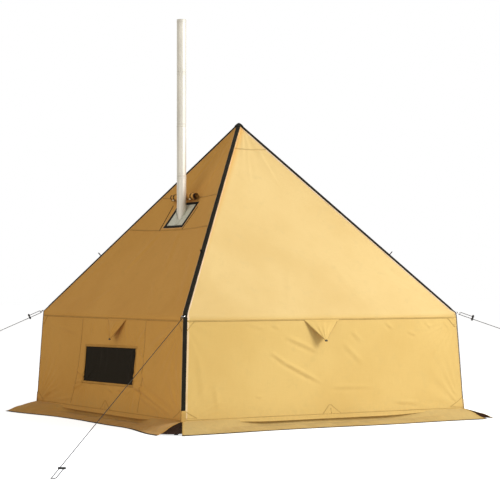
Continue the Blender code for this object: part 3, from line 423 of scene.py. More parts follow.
def tape(bm, at, length, width, columns, rows, outward):
    """A strip placed by at(t, s): t is 0 to 1 along it, s is -1 to 1 across it."""
    return lay(bm, columns, rows, lambda a, d: at((a + 1) / 2, 2 * d - 1), (length, width), outward)


def sewn(name, finish, at, length, width, columns, rows, outward, **how):
    """A piece of one tape."""
    bm = bmesh.new()
    tape(bm, at, length, width, columns, rows, outward)
    return show(name, bm, finish, **how)


def piped(name, finish, points, radius, sides, body="tent", stands_for=(), slot=None, **how):
    """A piece of one tube."""
    bm = bmesh.new()
    tube(bm, points, radius, sides, **how)
    return show(name, bm, finish, body=body, stands_for=stands_for, slot=slot)


# Lines of points

def line_of(start, finish, steps):
    """Evenly spaced points on a straight line."""
    return [start.lerp(finish, step / steps) for step in range(steps + 1)]


def arc(centre, across, up, steps, turn=math.pi, shift=Vector()):
    """Points round a centre, from the way across towards the way up, shifting as they go."""
    shares = [step / steps for step in range(steps + 1)]
    return [centre + across * math.cos(turn * s) + up * math.sin(turn * s) + shift * s for s in shares]


def loop_of(centre, across, up, steps):
    """The points of a closed loop."""
    return arc(centre, across, up, steps, math.tau)[:-1]


def curve(points, index, t):
    """A place between two points of a smooth curve through a row of points."""
    before, here = points[max(index - 1, 0)], points[index]
    there, after = points[index + 1], points[min(index + 2, len(points) - 1)]
    rise = (there - before) * (t - 2 * t ** 2 + t ** 3)
    settle = (after - here) * (t ** 3 - t ** 2)
    hold = here * (1 - 3 * t ** 2 + 2 * t ** 3) + there * (3 * t ** 2 - 2 * t ** 3)
    return hold + (rise + settle) / 2


def smooth_line(route, steps):
    """Points read from a smooth curve through the route's own points."""
    places = [(index, step / steps) for index in range(len(route) - 1) for step in range(steps)]
    return [curve(route, index, t) for index, t in places] + [route[-1]]


def line_length(points):
    return sum((there - here).length for here, there in zip(points, points[1:]))


def line_at(points, t):
    """The place and the way at a share of a line of points."""
    spot = min(max(t, 0.0), 1.0) * (len(points) - 1)
    index = min(int(spot), len(points) - 2)
    here, there = points[index], points[index + 1]
    return here.lerp(there, spot - index), (there - here).normalized()


# The tent's surfaces

def along(out):
    """The way to the right along a side, as seen from outside."""
    return Vector((-out.y, out.x, 0))


def roof_normal(out):
    middle = out * EAVE_HALF + UP * EAVE_HEIGHT
    return along(out).cross(PEAK - middle).normalized()


def wall_normal(out):
    return (out * (EAVE_HEIGHT - HEM_HEIGHT) + UP * WALL_FLARE).normalized()


def down_roof(out):
    """The way straight down a roof panel."""
    return along(out).cross(roof_normal(out))


def wall_reach(height):
    """How far a wall stands from the middle at a height."""
    return EAVE_HALF + WALL_FLARE * (EAVE_HEIGHT - height) / (EAVE_HEIGHT - HEM_HEIGHT)


def eave_corner(corner):
    first, second = CORNERS[corner]
    return (SIDES[first] + SIDES[second]) * EAVE_HALF + UP * EAVE_HEIGHT


def ease(value, low, high):
    """0 below low, 1 above high, smooth between."""
    share = min(max((value - low) / (high - low), 0.0), 1.0)
    return share * share * (3 - 2 * share)


# Finishes

CANVAS_THREAD = 0.0011
# The mixing node's sockets for a factor and two colours
MIX_SOCKETS = (0, 6, 7)


def feed(tree, socket, value):
    """Puts a number, a colour or another node's result into a socket."""
    if isinstance(value, bpy.types.NodeSocket):
        tree.links.new(value, socket)
    elif socket.type == "RGBA":
        socket.default_value = (*value, 1)
    else:
        socket.default_value = value


def add(tree, kind, *values, **named):
    """A new node, with values or other nodes' results in its sockets."""
    node = tree.nodes.new(f"ShaderNode{kind}")
    for socket, value in zip(node.inputs, values):
        feed(tree, socket, value)
    for name, value in named.items():
        feed(tree, node.inputs[name], value)
    return node


def begin(name, colour, roughness, metallic=0.0, sheen=0.0, gloss=0.5):
    """A material with its plain settings on the shader's own sockets, and its nodes."""
    made = bpy.data.materials.new(name)
    made.use_nodes = True
    made.diffuse_color = (*colour, 1)
    tree = made.node_tree
    plain = {
        "Base Color": colour, "Roughness": roughness, "Metallic": metallic,
        "Sheen Weight": sheen, "Sheen Roughness": 0.5, "Specular IOR Level": gloss,
    }
    for socket, value in plain.items():
        feed(tree, tree.nodes["Principled BSDF"].inputs[socket], value)
    return made, tree


def paint(made, colour, relief, dull=None):
    """Finishes a material: its colour, its roughness, and its relief as (height, depth, strength)."""
    tree = made.node_tree
    shader = tree.nodes["Principled BSDF"]
    feed(tree, shader.inputs["Base Color"], colour)
    if dull:
        feed(tree, shader.inputs["Roughness"], dull)
    last = {}
    for height, depth, strength in relief:
        bump = add(tree, "Bump", Distance=depth, Strength=strength, Height=height, **last)
        last = {"Normal": bump.outputs[0]}
    feed(tree, shader.inputs["Normal"], last["Normal"])
    return made


def sum_up(tree, operation, first, second=0.0):
    node = add(tree, "Math", first, second)
    node.operation = operation
    return node.outputs[0]


def shade(tree, factor, first, second):
    """Mixes two colours."""
    node = add(tree, "Mix")
    node.data_type = "RGBA"
    for index, value in zip(MIX_SOCKETS, (factor, first, second)):
        feed(tree, node.inputs[index], value)
    return node.outputs[2]


def spread_of(tree, value, low, high, bottom=0.0, top=1.0):
    """Maps a value's range smoothly onto another."""
    node = add(tree, "MapRange", value, low, high, bottom, top)
    node.interpolation_type = "SMOOTHSTEP"
    return node.outputs[0]


def place_of(tree, kind="Object", scale=(1, 1, 1), turn=0.0):
    """Object coordinates or the piece's own map, stretched and turned."""
    spot = tree.nodes.new("ShaderNodeTexCoord").outputs[kind]
    return add(tree, "Mapping", Vector=spot, Scale=scale, Rotation=(0, 0, turn)).outputs[0]


def speckle(tree, place, scale, detail=3.0, roughness=0.5, distortion=0.0):
    settings = {"Scale": scale, "Detail": detail, "Roughness": roughness, "Distortion": distortion}
    return add(tree, "TexNoise", Vector=place, **settings).outputs["Fac"]


def ribs(tree, place, direction, period, distortion=0.0):
    """Fine parallel ribs with a period in the place's own units."""
    node = add(tree, "TexWave", Vector=place, Scale=math.tau / 20 / period, Distortion=distortion, Detail=1.0)
    node.wave_type = "BANDS"
    node.bands_direction = direction
    return node.outputs["Fac"]


def split(tree, place):
    return add(tree, "SeparateXYZ", place).outputs


def weave(tree, thread=CANVAS_THREAD):
    """Over-and-under threads as a height."""
    cloth = place_of(tree, "UV")
    return sum_up(tree, "MAXIMUM", ribs(tree, cloth, "X", thread), ribs(tree, cloth, "Y", thread))


def stitches(tree, rows, pitch, thread):
    """1 on the stitches of the rows that run along a tape's length, 0 off them."""
    parts = split(tree, place_of(tree, "UV"))
    gaps = [sum_up(tree, "ABSOLUTE", sum_up(tree, "SUBTRACT", parts[1], row)) for row in rows]
    on_row = spread_of(tree, sum_up(tree, "MINIMUM", *gaps), thread * 0.5, thread * 0.7, 1.0, 0.0)
    beat = sum_up(tree, "FRACT", sum_up(tree, "DIVIDE", parts[0], pitch))
    dash = spread_of(tree, sum_up(tree, "PINGPONG", beat, 0.5), 0.10, 0.16)
    return sum_up(tree, "MULTIPLY", on_row, dash)


def tinted(colour, by, plus=0.0):
    """A colour times a number or times another colour."""
    shares = by if isinstance(by, tuple) else (by, by, by)
    return tuple(channel * share + plus for channel, share in zip(colour, shares))


def painted_side_light(tree, solid, tone):
    """Painted light and shade: paler on the front and door sides, palest on their roof panels, and a painted shade on
    the window and back sides.
    """
    parts = split(tree, solid)
    painted_lit_side = spread_of(tree, sum_up(tree, "SUBTRACT", parts[0], parts[1]), -0.05, 0.05)
    high = spread_of(tree, parts[2], 0.84, 0.90)
    return shade(tree, painted_lit_side, tinted(tone, SHADED_TONE), shade(tree, high, tone, tinted(tone, ROOF_PAINTED_LIGHT)))


def canvas_finish(name, pale, deep):
    """Woven polycotton: two threads, slubs, soft fading, a little dust near the ground, and painted light and shade
    that differ by side.
    """
    made, tree = begin(name, pale, 0.86, sheen=0.08, gloss=0.15)
    solid = place_of(tree)
    fade = speckle(tree, solid, 1.3, 4.0, 0.55)
    slubs = [speckle(tree, place_of(tree, "UV", way), 1.0, 2.0) for way in ((9, 420, 1), (420, 9, 1))]
    slubs = sum_up(tree, "MULTIPLY", sum_up(tree, "ADD", *slubs), 0.5)
    deep_tone = painted_side_light(tree, solid, deep)
    colour = shade(tree, spread_of(tree, fade, 0.35, 0.72, 0.0, 0.55), painted_side_light(tree, solid, pale), deep_tone)
    colour = shade(tree, spread_of(tree, slubs, 0.38, 0.62, 0.0, 0.20), colour, deep_tone)
    blotch = speckle(tree, solid, 11.0, 5.0, 0.6)
    tint = painted_side_light(tree, solid, tinted(pale, 0.86))
    colour = shade(tree, spread_of(tree, blotch, 0.52, 0.75, 0.0, 0.35), colour, tint)
    grime = spread_of(tree, speckle(tree, solid, 26.0, 6.0, 0.65), 0.35, 0.7, 0.25, 1.0)
    low = spread_of(tree, split(tree, solid)[2], 0.02, 0.26, 1.0, 0.0)
    dirt = sum_up(tree, "MULTIPLY", sum_up(tree, "MULTIPLY", low, grime), 0.42)
    colour = shade(tree, dirt, colour, tinted(pale, (0.72, 0.74, 0.80)))
    crumple = speckle(tree, solid, 17.0, 5.0, 0.6, 0.6)
    relief = [(crumple, 0.004, 0.28), (slubs, 0.0006, 0.5), (weave(tree), 0.0002, 0.4)]
    return paint(made, colour, relief, spread_of(tree, slubs, 0.3, 0.7, 0.80, 0.92))


def seam_finish(name, pale, deep, rows):
    """A felled seam: doubled canvas with rows of stitches and rubbed edges, with the same painted light and shade by
    side as the canvas.
    """
    made, tree = begin(name, pale, 0.86, sheen=0.06, gloss=0.15)
    solid = place_of(tree)
    sewn = stitches(tree, rows, 0.0036, 0.0009)
    pucker = speckle(tree, place_of(tree, "UV", (130, 30, 1)), 1.0, 2.0)
    worn = spread_of(tree, speckle(tree, solid, 6.0), 0.35, 0.7, 0.1, 0.8)
    colour = shade(tree, worn, painted_side_light(tree, solid, pale), painted_side_light(tree, solid, deep))
    relief = [(pucker, 0.0020, 0.45), (sewn, 0.0006, 0.8), (weave(tree), 0.0002, 0.4)]
    return paint(made, shade(tree, sewn, colour, THREAD_TAN), relief)


def webbing_finish(name, pale, deep, rows, thread_colour=(0.060, 0.055, 0.045), rib=0.0026):
    """Woven tape: cross ribs, a firm selvedge, rows of stitches and dusty high spots."""
    made, tree = begin(name, pale, 0.80, sheen=0.02, gloss=0.10)
    cloth = place_of(tree, "UV")
    cords = sum_up(tree, "ADD", ribs(tree, cloth, "Y", 0.0042), 0.5)
    woven = sum_up(tree, "MULTIPLY", ribs(tree, cloth, "X", rib, 0.4), cords)
    sewn = stitches(tree, rows, 0.0042, 0.0011)
    colour = shade(tree, spread_of(tree, woven, 0.2, 1.1), deep, pale)
    dust = spread_of(tree, speckle(tree, place_of(tree), 14.0, 5.0, 0.6), 0.45, 0.75, 0.0, 0.35)
    colour = shade(tree, dust, colour, tinted(pale, 1.5, 0.004))
    return paint(made, shade(tree, sewn, colour, thread_colour), [(woven, 0.0006, 0.6), (sewn, 0.0006, 0.7)])


def net_finish():
    """Fine insect net in a dark colour, with a painted highlight on its faint folds."""
    made, tree = begin("window_net", (0.014, 0.010, 0.005), 0.80, gloss=0.10)
    holes = weave(tree, 0.0016)
    folds = speckle(tree, place_of(tree, "UV", (14, 2.5, 1)), 1.0, 3.0, 0.5, 0.4)
    colour = shade(tree, spread_of(tree, holes, 0.6, 1.0), (0.010, 0.007, 0.003), (0.020, 0.014, 0.006))
    # painted highlight: a lighter tone where the folds rise
    colour = shade(tree, spread_of(tree, folds, 0.55, 0.80, 0.0, 0.55), colour, (0.034, 0.028, 0.020))
    return paint(made, colour, [(folds, 0.004, 0.5), (holes, 0.0004, 0.7)])


def glass_cloth_finish():
    """Silicone-coated glass cloth: a coarse plain weave with a soft shine and soot by the pipe."""
    made, tree = begin("glass_cloth", (0.72, 0.73, 0.62), 0.52, sheen=0.05)
    solid = place_of(tree)
    threads = weave(tree, 0.0030)
    colour = shade(tree, spread_of(tree, threads, 0.5, 1.0), (0.60, 0.61, 0.50), (0.80, 0.80, 0.68))
    stain = spread_of(tree, speckle(tree, solid, 9.0, 6.0, 0.6), 0.45, 0.75, 0.0, 0.5)
    colour = shade(tree, stain, colour, (0.58, 0.55, 0.44))
    relief = [(speckle(tree, solid, 22.0, 4.0, 0.6), 0.003, 0.4), (threads, 0.0005, 0.6)]
    return paint(made, colour, relief, spread_of(tree, threads, 0.4, 1.0, 0.62, 0.44))


def pipe_steel_finish(colour, roughness, metallic, blue_from, straw_to):
    """Rolled sheet: fine scratches round the tube, smears, and heat colours low down."""
    made, tree = begin("pipe_steel", colour, roughness, metallic)
    drawn = speckle(tree, place_of(tree, "Object", (20, 20, 900)), 1.0, 3.0, 0.6)
    smear = speckle(tree, place_of(tree, "Object", (7, 7, 3)), 1.0, 5.0, 0.6)
    deep = tinted(colour, 0.72)
    shine = shade(tree, spread_of(tree, smear, 0.40, 0.72, 0.0, 0.6), colour, deep)
    shine = shade(tree, spread_of(tree, drawn, 0.45, 0.75, 0.0, 0.35), shine, deep)
    wander = spread_of(tree, smear, 0.3, 0.7, -0.12, 0.12)
    height = sum_up(tree, "ADD", split(tree, place_of(tree))[2], wander)
    straw = spread_of(tree, height, blue_from + 0.30, straw_to, 1.0, 0.0)
    blue = spread_of(tree, height, blue_from, blue_from + 0.45, 1.0, 0.0)
    shine = shade(tree, sum_up(tree, "MULTIPLY", straw, 0.65), shine, (0.50, 0.31, 0.12))
    shine = shade(tree, sum_up(tree, "MULTIPLY", blue, 0.75), shine, (0.10, 0.12, 0.22))
    dull = spread_of(tree, smear, 0.3, 0.75, roughness - 0.08, roughness + 0.16)
    return paint(made, shine, [(smear, 0.0012, 0.25), (drawn, 0.0001, 0.5)], dull)


def stove_steel_finish():
    """Blackened stove plate: matt, mottled by heat, bare and a little rusty on its edges."""
    made, tree = begin("stove_steel", (0.045, 0.045, 0.048), 0.55, metallic=0.85)
    solid = place_of(tree)
    mottle = speckle(tree, solid, 30.0, 7.0, 0.65)
    patch = speckle(tree, solid, 7.0, 5.0, 0.6, 0.5)
    colour = shade(tree, spread_of(tree, mottle, 0.35, 0.7), (0.030, 0.030, 0.033), (0.075, 0.072, 0.070))
    colour = shade(tree, spread_of(tree, patch, 0.60, 0.78, 0.0, 0.7), colour, (0.11, 0.050, 0.022))
    dull = spread_of(tree, patch, 0.4, 0.75, 0.45, 0.80)
    return paint(made, colour, [(patch, 0.0010, 0.35), (mottle, 0.0004, 0.5)], dull)


def drawn_metal_finish(name, colour, roughness):
    """Drawn tube or wire: bright, with lengthwise lines and handling marks."""
    made, tree = begin(name, colour, roughness, metallic=1.0)
    lines = speckle(tree, place_of(tree, "Object", (900, 900, 12)), 1.0, 2.0)
    marks = speckle(tree, place_of(tree), 34.0, 6.0, 0.65)
    tone = shade(tree, spread_of(tree, marks, 0.50, 0.72, 0.0, 0.7), colour, tinted(colour, 0.66))
    dull = spread_of(tree, marks, 0.3, 0.75, roughness - 0.05, roughness + 0.2)
    return paint(made, tone, [(marks, 0.0003, 0.35), (lines, 0.00005, 0.5)], dull)


def moulded_finish(name, colour, roughness, grain):
    """Moulded plastic or rubber: a fine grain, scuffs and a duller worn tone."""
    made, tree = begin(name, colour, roughness)
    grains = speckle(tree, place_of(tree), grain, 2.0)
    scuffs = speckle(tree, place_of(tree), 45.0, 6.0, 0.7)
    tone = shade(tree, spread_of(tree, scuffs, 0.52, 0.75, 0.0, 0.45), colour, tinted(colour, 2.4, 0.02))
    dull = spread_of(tree, scuffs, 0.4, 0.7, roughness, roughness + 0.25)
    return paint(made, tone, [(grains, 0.00012, 0.5), (scuffs, 0.0003, 0.3)], dull)


def braid_finish(name, dark, fleck, turns, pitch):
    """Braided cord: plaited strands round it, with a lighter fleck in one of them."""
    made, tree = begin(name, dark, 0.82, sheen=0.04, gloss=0.15)
    one, other = (
        ribs(tree, place_of(tree, "UV", (1 / pitch, turns, 1), math.radians(lean)), "X", 0.7071)
        for lean in (45, -45)
    )
    plait = sum_up(tree, "MAXIMUM", one, other)
    band = ribs(tree, place_of(tree, "UV", (1 / pitch / 4, 1, 1)), "X", 1.0)
    flecks = sum_up(tree, "MULTIPLY", one, spread_of(tree, band, 0.7, 0.95))
    fuzz = speckle(tree, place_of(tree, "UV", (900, 9, 1)), 1.0, 2.0)
    colour = shade(tree, spread_of(tree, plait, 0.35, 0.95), tinted(dark, 0.45), dark)
    return paint(made, shade(tree, flecks, colour, fleck), [(plait, 0.0006, 0.7), (fuzz, 0.0002, 0.4)])


# How the painted light of the sunny roof panels and the painted shade of the two shaded sides differ from the sunny
# walls
ROOF_PAINTED_LIGHT = (1.06, 1.12, 1.42)
SHADED_TONE = (1.05, 0.80, 0.52)
THREAD_TAN = (0.46, 0.27, 0.080)
CANVAS = canvas_finish("canvas", (0.720, 0.500, 0.170), (0.620, 0.400, 0.116))
SKIRT_CANVAS = canvas_finish("skirt_canvas", (0.600, 0.425, 0.160), (0.500, 0.335, 0.108))
SEAM = seam_finish("seam", (0.60, 0.405, 0.132), (0.49, 0.320, 0.096), (0.0035, 0.0085))
EDGE_STRIP = seam_finish("edge_strip", (0.82, 0.62, 0.36), (0.70, 0.48, 0.22), (0.004, 0.050))
WEBBING = webbing_finish("webbing", (0.017, 0.015, 0.009), (0.008, 0.007, 0.004), (0.004, 0.034))
# The corner sheet's dark colour is painted shade for the shaded gap between the skirts' ends
PAINTED_SHADE_CLOTH = webbing_finish("corner_gusset", (0.030, 0.011, 0.004), (0.018, 0.007, 0.003), (0.003, 0.090))
BINDING = webbing_finish("skirt_binding", (0.030, 0.024, 0.015), (0.014, 0.011, 0.007), (0.003, 0.013))
HOOK_TAPE = webbing_finish(
    "hook_tape", (0.060, 0.024, 0.009), (0.034, 0.013, 0.005), (0.002, 0.008), THREAD_TAN, 0.0015,
)
NET = net_finish()
GLASS_CLOTH = glass_cloth_finish()
PIPE_STEEL = pipe_steel_finish((0.80, 0.76, 0.66), 0.40, 0.22, 0.70, 1.75)
STOVE_STEEL = stove_steel_finish()
RING_STEEL = drawn_metal_finish("ring_steel", (0.66, 0.65, 0.63), 0.26)
ALUMINIUM = drawn_metal_finish("aluminium", (0.60, 0.61, 0.63), 0.36)
RUBBER = moulded_finish("rubber", (0.020, 0.020, 0.020), 0.72, 900.0)
TOGGLE_WOOD = moulded_finish("toggle_wood", (0.86, 0.70, 0.46), 0.55, 700.0)
SLIDER_PLASTIC = moulded_finish("slider_plastic", (0.014, 0.014, 0.015), 0.42, 1400.0)
ROPE = braid_finish("rope", (0.022, 0.019, 0.014), (0.080, 0.070, 0.055), 6, 0.0075)
LASHING = braid_finish("lashing", (0.030, 0.030, 0.028), (0.08, 0.08, 0.07), 2, 0.0030)


# Folds in the walls, in mm: from across and up, to across and up, width and depth
WALL_FOLDS = {
    "window": (
        (1227, 832, 808, 655, 30, 6), (1199, 777, 903, 562, 28, 4.5),
        (1269, 94, 636, 293, 20, 5.5), (1032, 133, 661, 230, 15, 3.5),
        (-1279, 90, -1075, 209, 22, 5), (-1170, 96, -646, 154, 14, 3.5),
        (-581, 297, -441, 313, 12, 3.5), (-573, 402, -435, 347, 12, 4.5),
        (-616, 243, -458, 290, 12, 3.5), (33, 277, 131, 245, 11, 3.5),
        (202, 278, 370, 262, 15, 3.5), (586, 518, 681, 368, 16, 3.5),
        (592, 624, 674, 521, 14, 3), (510, 311, 672, 291, 20, 6),
        (-5, 789, 60, 715, 15, 3.5), (310, 813, 343, 681, 16, 3.5),
        (-277, 791, -307, 714, 12, 2.5), (674, 764, 559, 679, 20, 3.5),
        (1083, 786, 1199, 785, 12, 3.5), (-236, 101, -14, 105, 10, 3),
        (1159, 525, 1254, 233, 30, -4), (-930, 760, -620, 720, 20, 2),
    ),
    "front": (
        (-725, 827, -604, 799, 20, 3), (-516, 811, -454, 793, 14, 2.5),
        (-351, 705, -102, 605, 18, 4.5), (-514, 588, -410, 525, 15, 3.5),
        (-419, 525, -101, 370, 17, 5.5), (-674, 256, -622, 251, 12, 2),
        (575, 822, 640, 774, 13, 3.5), (963, 829, 1030, 773, 12, 3),
        (1166, 827, 1218, 766, 12, 3), (803, 740, 880, 711, 12, 2.5),
        (68, 311, 394, 301, 16, 3), (665, 171, 858, 157, 16, 3.5),
        (1246, 238, 1300, 205, 10, 3.5), (1224, 183, 1283, 157, 10, 3),
        (182, 642, 336, 507, 22, 2.5), (251, 749, 333, 678, 20, 2.5),
        (623, 108, 1010, 100, 14, 3), (-1180, 560, -1150, 250, 30, 3),
        (-1040, 330, -1020, 180, 24, 2.5),
    ),
    "back": (
        (1240, 830, 860, 640, 28, 5), (-1250, 100, -800, 280, 22, 5),
        (-500, 600, -120, 430, 20, 4.5), (300, 340, 720, 300, 18, 3.5),
        (560, 780, 640, 690, 14, 3), (-1200, 800, -980, 700, 18, 4),
        (1240, 120, 1040, 240, 16, 4), (-300, 150, 240, 140, 14, 3),
    ),
    "door": (
        (1230, 820, 900, 600, 24, 3.5), (-1230, 110, -860, 300, 20, 4),
        (-1220, 800, -920, 660, 20, 3.5), (1240, 120, 980, 250, 18, 4),
        (620, 520, 800, 430, 16, 3), (-700, 560, -560, 380, 16, 3),
    ),
}
# Fans of small puckers, in mm: across and up of the hub, reach, folds round it and depth
WALL_FANS = {
    "window": ((1310, 850, 200, 26, 2), (1330, 90, 170, 24, 2.2), (-1330, 90, 170, 26, 2.2),
               (-410, 310, 60, 14, 1.4), (520, 310, 70, 14, 2), (520, 620, 60, 14, 1.4),
               (-1310, 850, 150, 24, 1.2)),
    "front": ((-1310, 850, 130, 24, 1.2), (1310, 850, 150, 26, 1.8), (1330, 90, 160, 26, 2),
              (-1330, 90, 150, 24, 1.4)),
    "back": ((-1310, 850, 160, 26, 1.8), (1310, 850, 160, 26, 1.8), (1330, 90, 170, 26, 2),
             (-1330, 90, 170, 26, 2)),
    "door": ((-1310, 850, 160, 26, 1.8), (1310, 850, 160, 26, 1.8), (1330, 90, 160, 26, 2),
             (-1330, 90, 160, 26, 2)),
}
# Folds in the roof, in mm: from across and down the slope, to the same, width and depth
ROOF_FOLDS = {
    "window": (
        (1120, 1960, 700, 1400, 40, 6), (-1120, 1960, -760, 1480, 40, 6),
        (180, 1200, 420, 1600, 35, 4.5), (-160, 1190, -300, 1560, 35, 4.5),
        (620, 1930, 380, 1700, 30, 3.5), (-500, 1980, -240, 1760, 30, 3.5),
        (60, 300, 120, 680, 18, 2.5), (-80, 280, -200, 640, 18, 2.5),
    ),
    "front": (
        (-1130, 1960, -820, 1520, 40, 5), (1130, 1960, 840, 1520, 40, 5),
        (-300, 1960, -160, 1620, 30, 2.5), (420, 1950, 300, 1600, 30, 2.5),
        (40, 280, 100, 640, 18, 2.5), (-60, 290, -150, 620, 18, 2.5),
    ),
    "back": (
        (-1130, 1960, -780, 1460, 40, 6), (1130, 1960, 800, 1500, 40, 6),
        (-100, 1950, 60, 1560, 34, 3.5), (80, 300, 160, 660, 18, 2.5),
    ),
    "door": (
        (-1130, 1960, -820, 1520, 36, 4), (1130, 1960, 840, 1500, 36, 4),
    ),
}
FOLD_STRENGTH = {"front": 1.55, "window": 2.20, "back": 1.60, "door": 1.60}
ROOF_FANS = ((1300, 2050, 260, 30, 2.2), (-1300, 2050, 260, 30, 2.2), (0, 0, 220, 22, 1.8))


def crease(x, y, fold):
    """The height of one long fold at a place, with a shallow valley beside its crest."""
    from_x, from_y, to_x, to_y, width, depth = (size / 1000 for size in fold)
    run_x, run_y = to_x - from_x, to_y - from_y
    run = math.hypot(run_x, run_y)
    share = ((x - from_x) * run_x + (y - from_y) * run_y) / (run * run)
    if not -0.3 < share < 1.3:
        return 0.0
    off = ((x - from_x) * run_y - (y - from_y) * run_x) / run / width
    if abs(off) > 3.5:
        return 0.0
    fade = ease(share, -0.25, 0.25) * (1 - ease(share, 0.70, 1.25))
    return depth * fade * (math.exp(-off * off) - 0.55 * math.exp(-(off - 1.5) ** 2))


def puckers(x, y, hub):
    """A fan of small folds round a point where the cloth is pulled."""
    folds = hub[3]
    hub_x, hub_y, reach, _, depth = (size / 1000 for size in hub)
    far = math.hypot(x - hub_x, y - hub_y) / reach
    if far > 4:
        return 0.0
    turn = math.atan2(y - hub_y, x - hub_x)
    fade = (far * math.exp(1 - far)) ** 2
    return depth * fade * math.sin(folds * turn + 5 * math.sin(3 * turn + hub_x))


def wall_fold(side, across, height, reach):
    depth = (SEAM_HEIGHT - height) / (SEAM_HEIGHT - HEM_HEIGHT)
    if not 0 < depth < 1:
        return 0.0
    fade = (1 - (across / reach) ** 10) * min(1.0, math.sin(math.pi * depth) * 3.2)
    rise = sum(crease(across, height, fold) for fold in WALL_FOLDS[side])
    rise += sum(puckers(across, height, hub) for hub in WALL_FANS[side])
    wave = 0.0011 * math.sin(6.1 * across + 2 * height) * math.sin(9.0 * height + 1.7 * across)
    return (FOLD_STRENGTH[side] * rise + wave) * fade


def on_wall(side, across, height, lift=0.0):
    """A point on a wall's outer face: drawn in between its edges, with its folds."""
    out = SIDES[side]
    reach = wall_reach(height)
    depth = (SEAM_HEIGHT - height) / (SEAM_HEIGHT - HEM_HEIGHT)
    inward = 0.0
    if side != "door" and 0 < depth < 1:
        inward = WALL_DRAW * (1 - (across / reach) ** 2) ** 2 * math.sin(math.pi * depth)
    rise = wall_fold(side, across, height, reach) if abs(across) < reach else 0.0
    return out * (reach - inward + rise + lift) + along(out) * across + UP * height


def roof_run(side):
    """How far it is down the middle of a roof panel from the peak to the eave."""
    out = SIDES[side]
    return (out * EAVE_HALF + UP * EAVE_HEIGHT - PEAK).dot(down_roof(out))


def roof_at(side, share, down, lift=0.0):
    """A point on a roof panel: share is -1 to 1 across, down 0 at the peak to 1 at the eave."""
    out = SIDES[side]
    bend_height = EAVE_HEIGHT - EAVE_DIP * (1 - share ** 2)
    bend = out * wall_reach(bend_height) + along(out) * (share * EAVE_HALF) + UP * bend_height
    place = PEAK.lerp(bend, down)
    fall = 0.0 if side == "door" else ROOF_SAG * (1 - share ** 2) * math.sin(math.pi * down)
    across = place.dot(along(out))
    drop = down * roof_run(side)
    rise = sum(crease(across, drop, fold) for fold in ROOF_FOLDS[side])
    rise += sum(puckers(across, drop, hub) for hub in ROOF_FANS)
    if side != "door":
        rise += 0.0016 * math.sin(3.3 * across + 1.2 * drop) * math.sin(4.1 * drop + 0.6)
    fade = (1 - abs(share) ** 9) * min(1.0, math.sin(math.pi * min(down, 1.0)) * 3.0)
    return place + roof_normal(out) * (lift - fall + rise * fade)


def on_roof(side, across, drop, lift=0.0):
    """A point on a roof panel from its distance across and its distance down the slope."""
    run = roof_run(side)
    down = max(drop / run, 1e-4)
    shift = PEAK.dot(along(SIDES[side]))
    share = (across - shift * (1 - down)) / (down * EAVE_HALF)
    share = min(max(share, -1.0), 1.0)
    down = drop / (run + EAVE_DIP * 0.82 * (1 - share ** 2))
    share = (across - shift * (1 - down)) / (max(down, 1e-4) * EAVE_HALF)
    return roof_at(side, min(max(share, -1.0), 1.0), down, lift)


def over_eave(side, share, turn, lift=0.0):
    """A point on the lip between the roof's bend and the seam: turn is 0 at the bend, 1 at the seam."""
    out = SIDES[side]
    bend_height = EAVE_HEIGHT - EAVE_DIP * (1 - share ** 2)
    height = bend_height + (SEAM_HEIGHT - bend_height) * turn
    half = EAVE_HALF + (wall_reach(SEAM_HEIGHT) - EAVE_HALF) * turn
    return out * (wall_reach(height) + lift) + along(out) * (share * half) + UP * height


# The roof, one continuous sheet over the four ridges

DOOR_HALF = 0.400
DOOR_TOP = 1.700
JACK_ACROSS = 0.013
JACK_HEIGHT = 1.734
JACK_WIDTH = 0.334
JACK_LENGTH = 0.266
LIP_SHARE = 0.045
ROOF_COLUMNS = 104
ROOF_ROWS = 96


def roof_drop(side, height):
    """How far down the slope of a flat roof panel a height lies."""
    return (PEAK.z - height) / -down_roof(SIDES[side]).z


def cut_room(bm, faces, planes):
    """Cuts faces along planes and takes out what lies inside all of them."""
    work = list(faces)
    for point, normal in planes:
        geom = work + list(dict.fromkeys(edge for face in work for edge in face.edges))
        geom += list(dict.fromkeys(vert for face in work for vert in face.verts))
        made = bmesh.ops.bisect_plane(bm, geom=geom, dist=1e-5, plane_co=point, plane_no=normal)
        work = [face for face in made["geom"] if isinstance(face, bmesh.types.BMFace)]
    gone = [
        face for face in work
        if all((face.calc_center_median() - point).dot(normal) < 0 for point, normal in planes)
    ]
    bmesh.ops.delete(bm, geom=gone, context="FACES")


def doorway_planes():
    out = SIDES["door"]
    top = PEAK + down_roof(out) * roof_drop("door", DOOR_TOP)
    jambs = [(along(out) * (sign * DOOR_HALF), along(out) * sign) for sign in (1, -1)]
    return jambs + [(top, -down_roof(out))]


def jack_middle():
    out = SIDES["window"]
    fall = PEAK + down_roof(out) * roof_drop("window", JACK_HEIGHT)
    return fall + along(out) * (JACK_ACROSS - fall.dot(along(out)))


def jack_planes(lap):
    out = SIDES["window"]
    halves = ((along(out), JACK_WIDTH / 2 - lap), (down_roof(out), JACK_LENGTH / 2 - lap))
    return [(jack_middle() + way * (sign * half), way * sign) for way, half in halves for sign in (1, -1)]


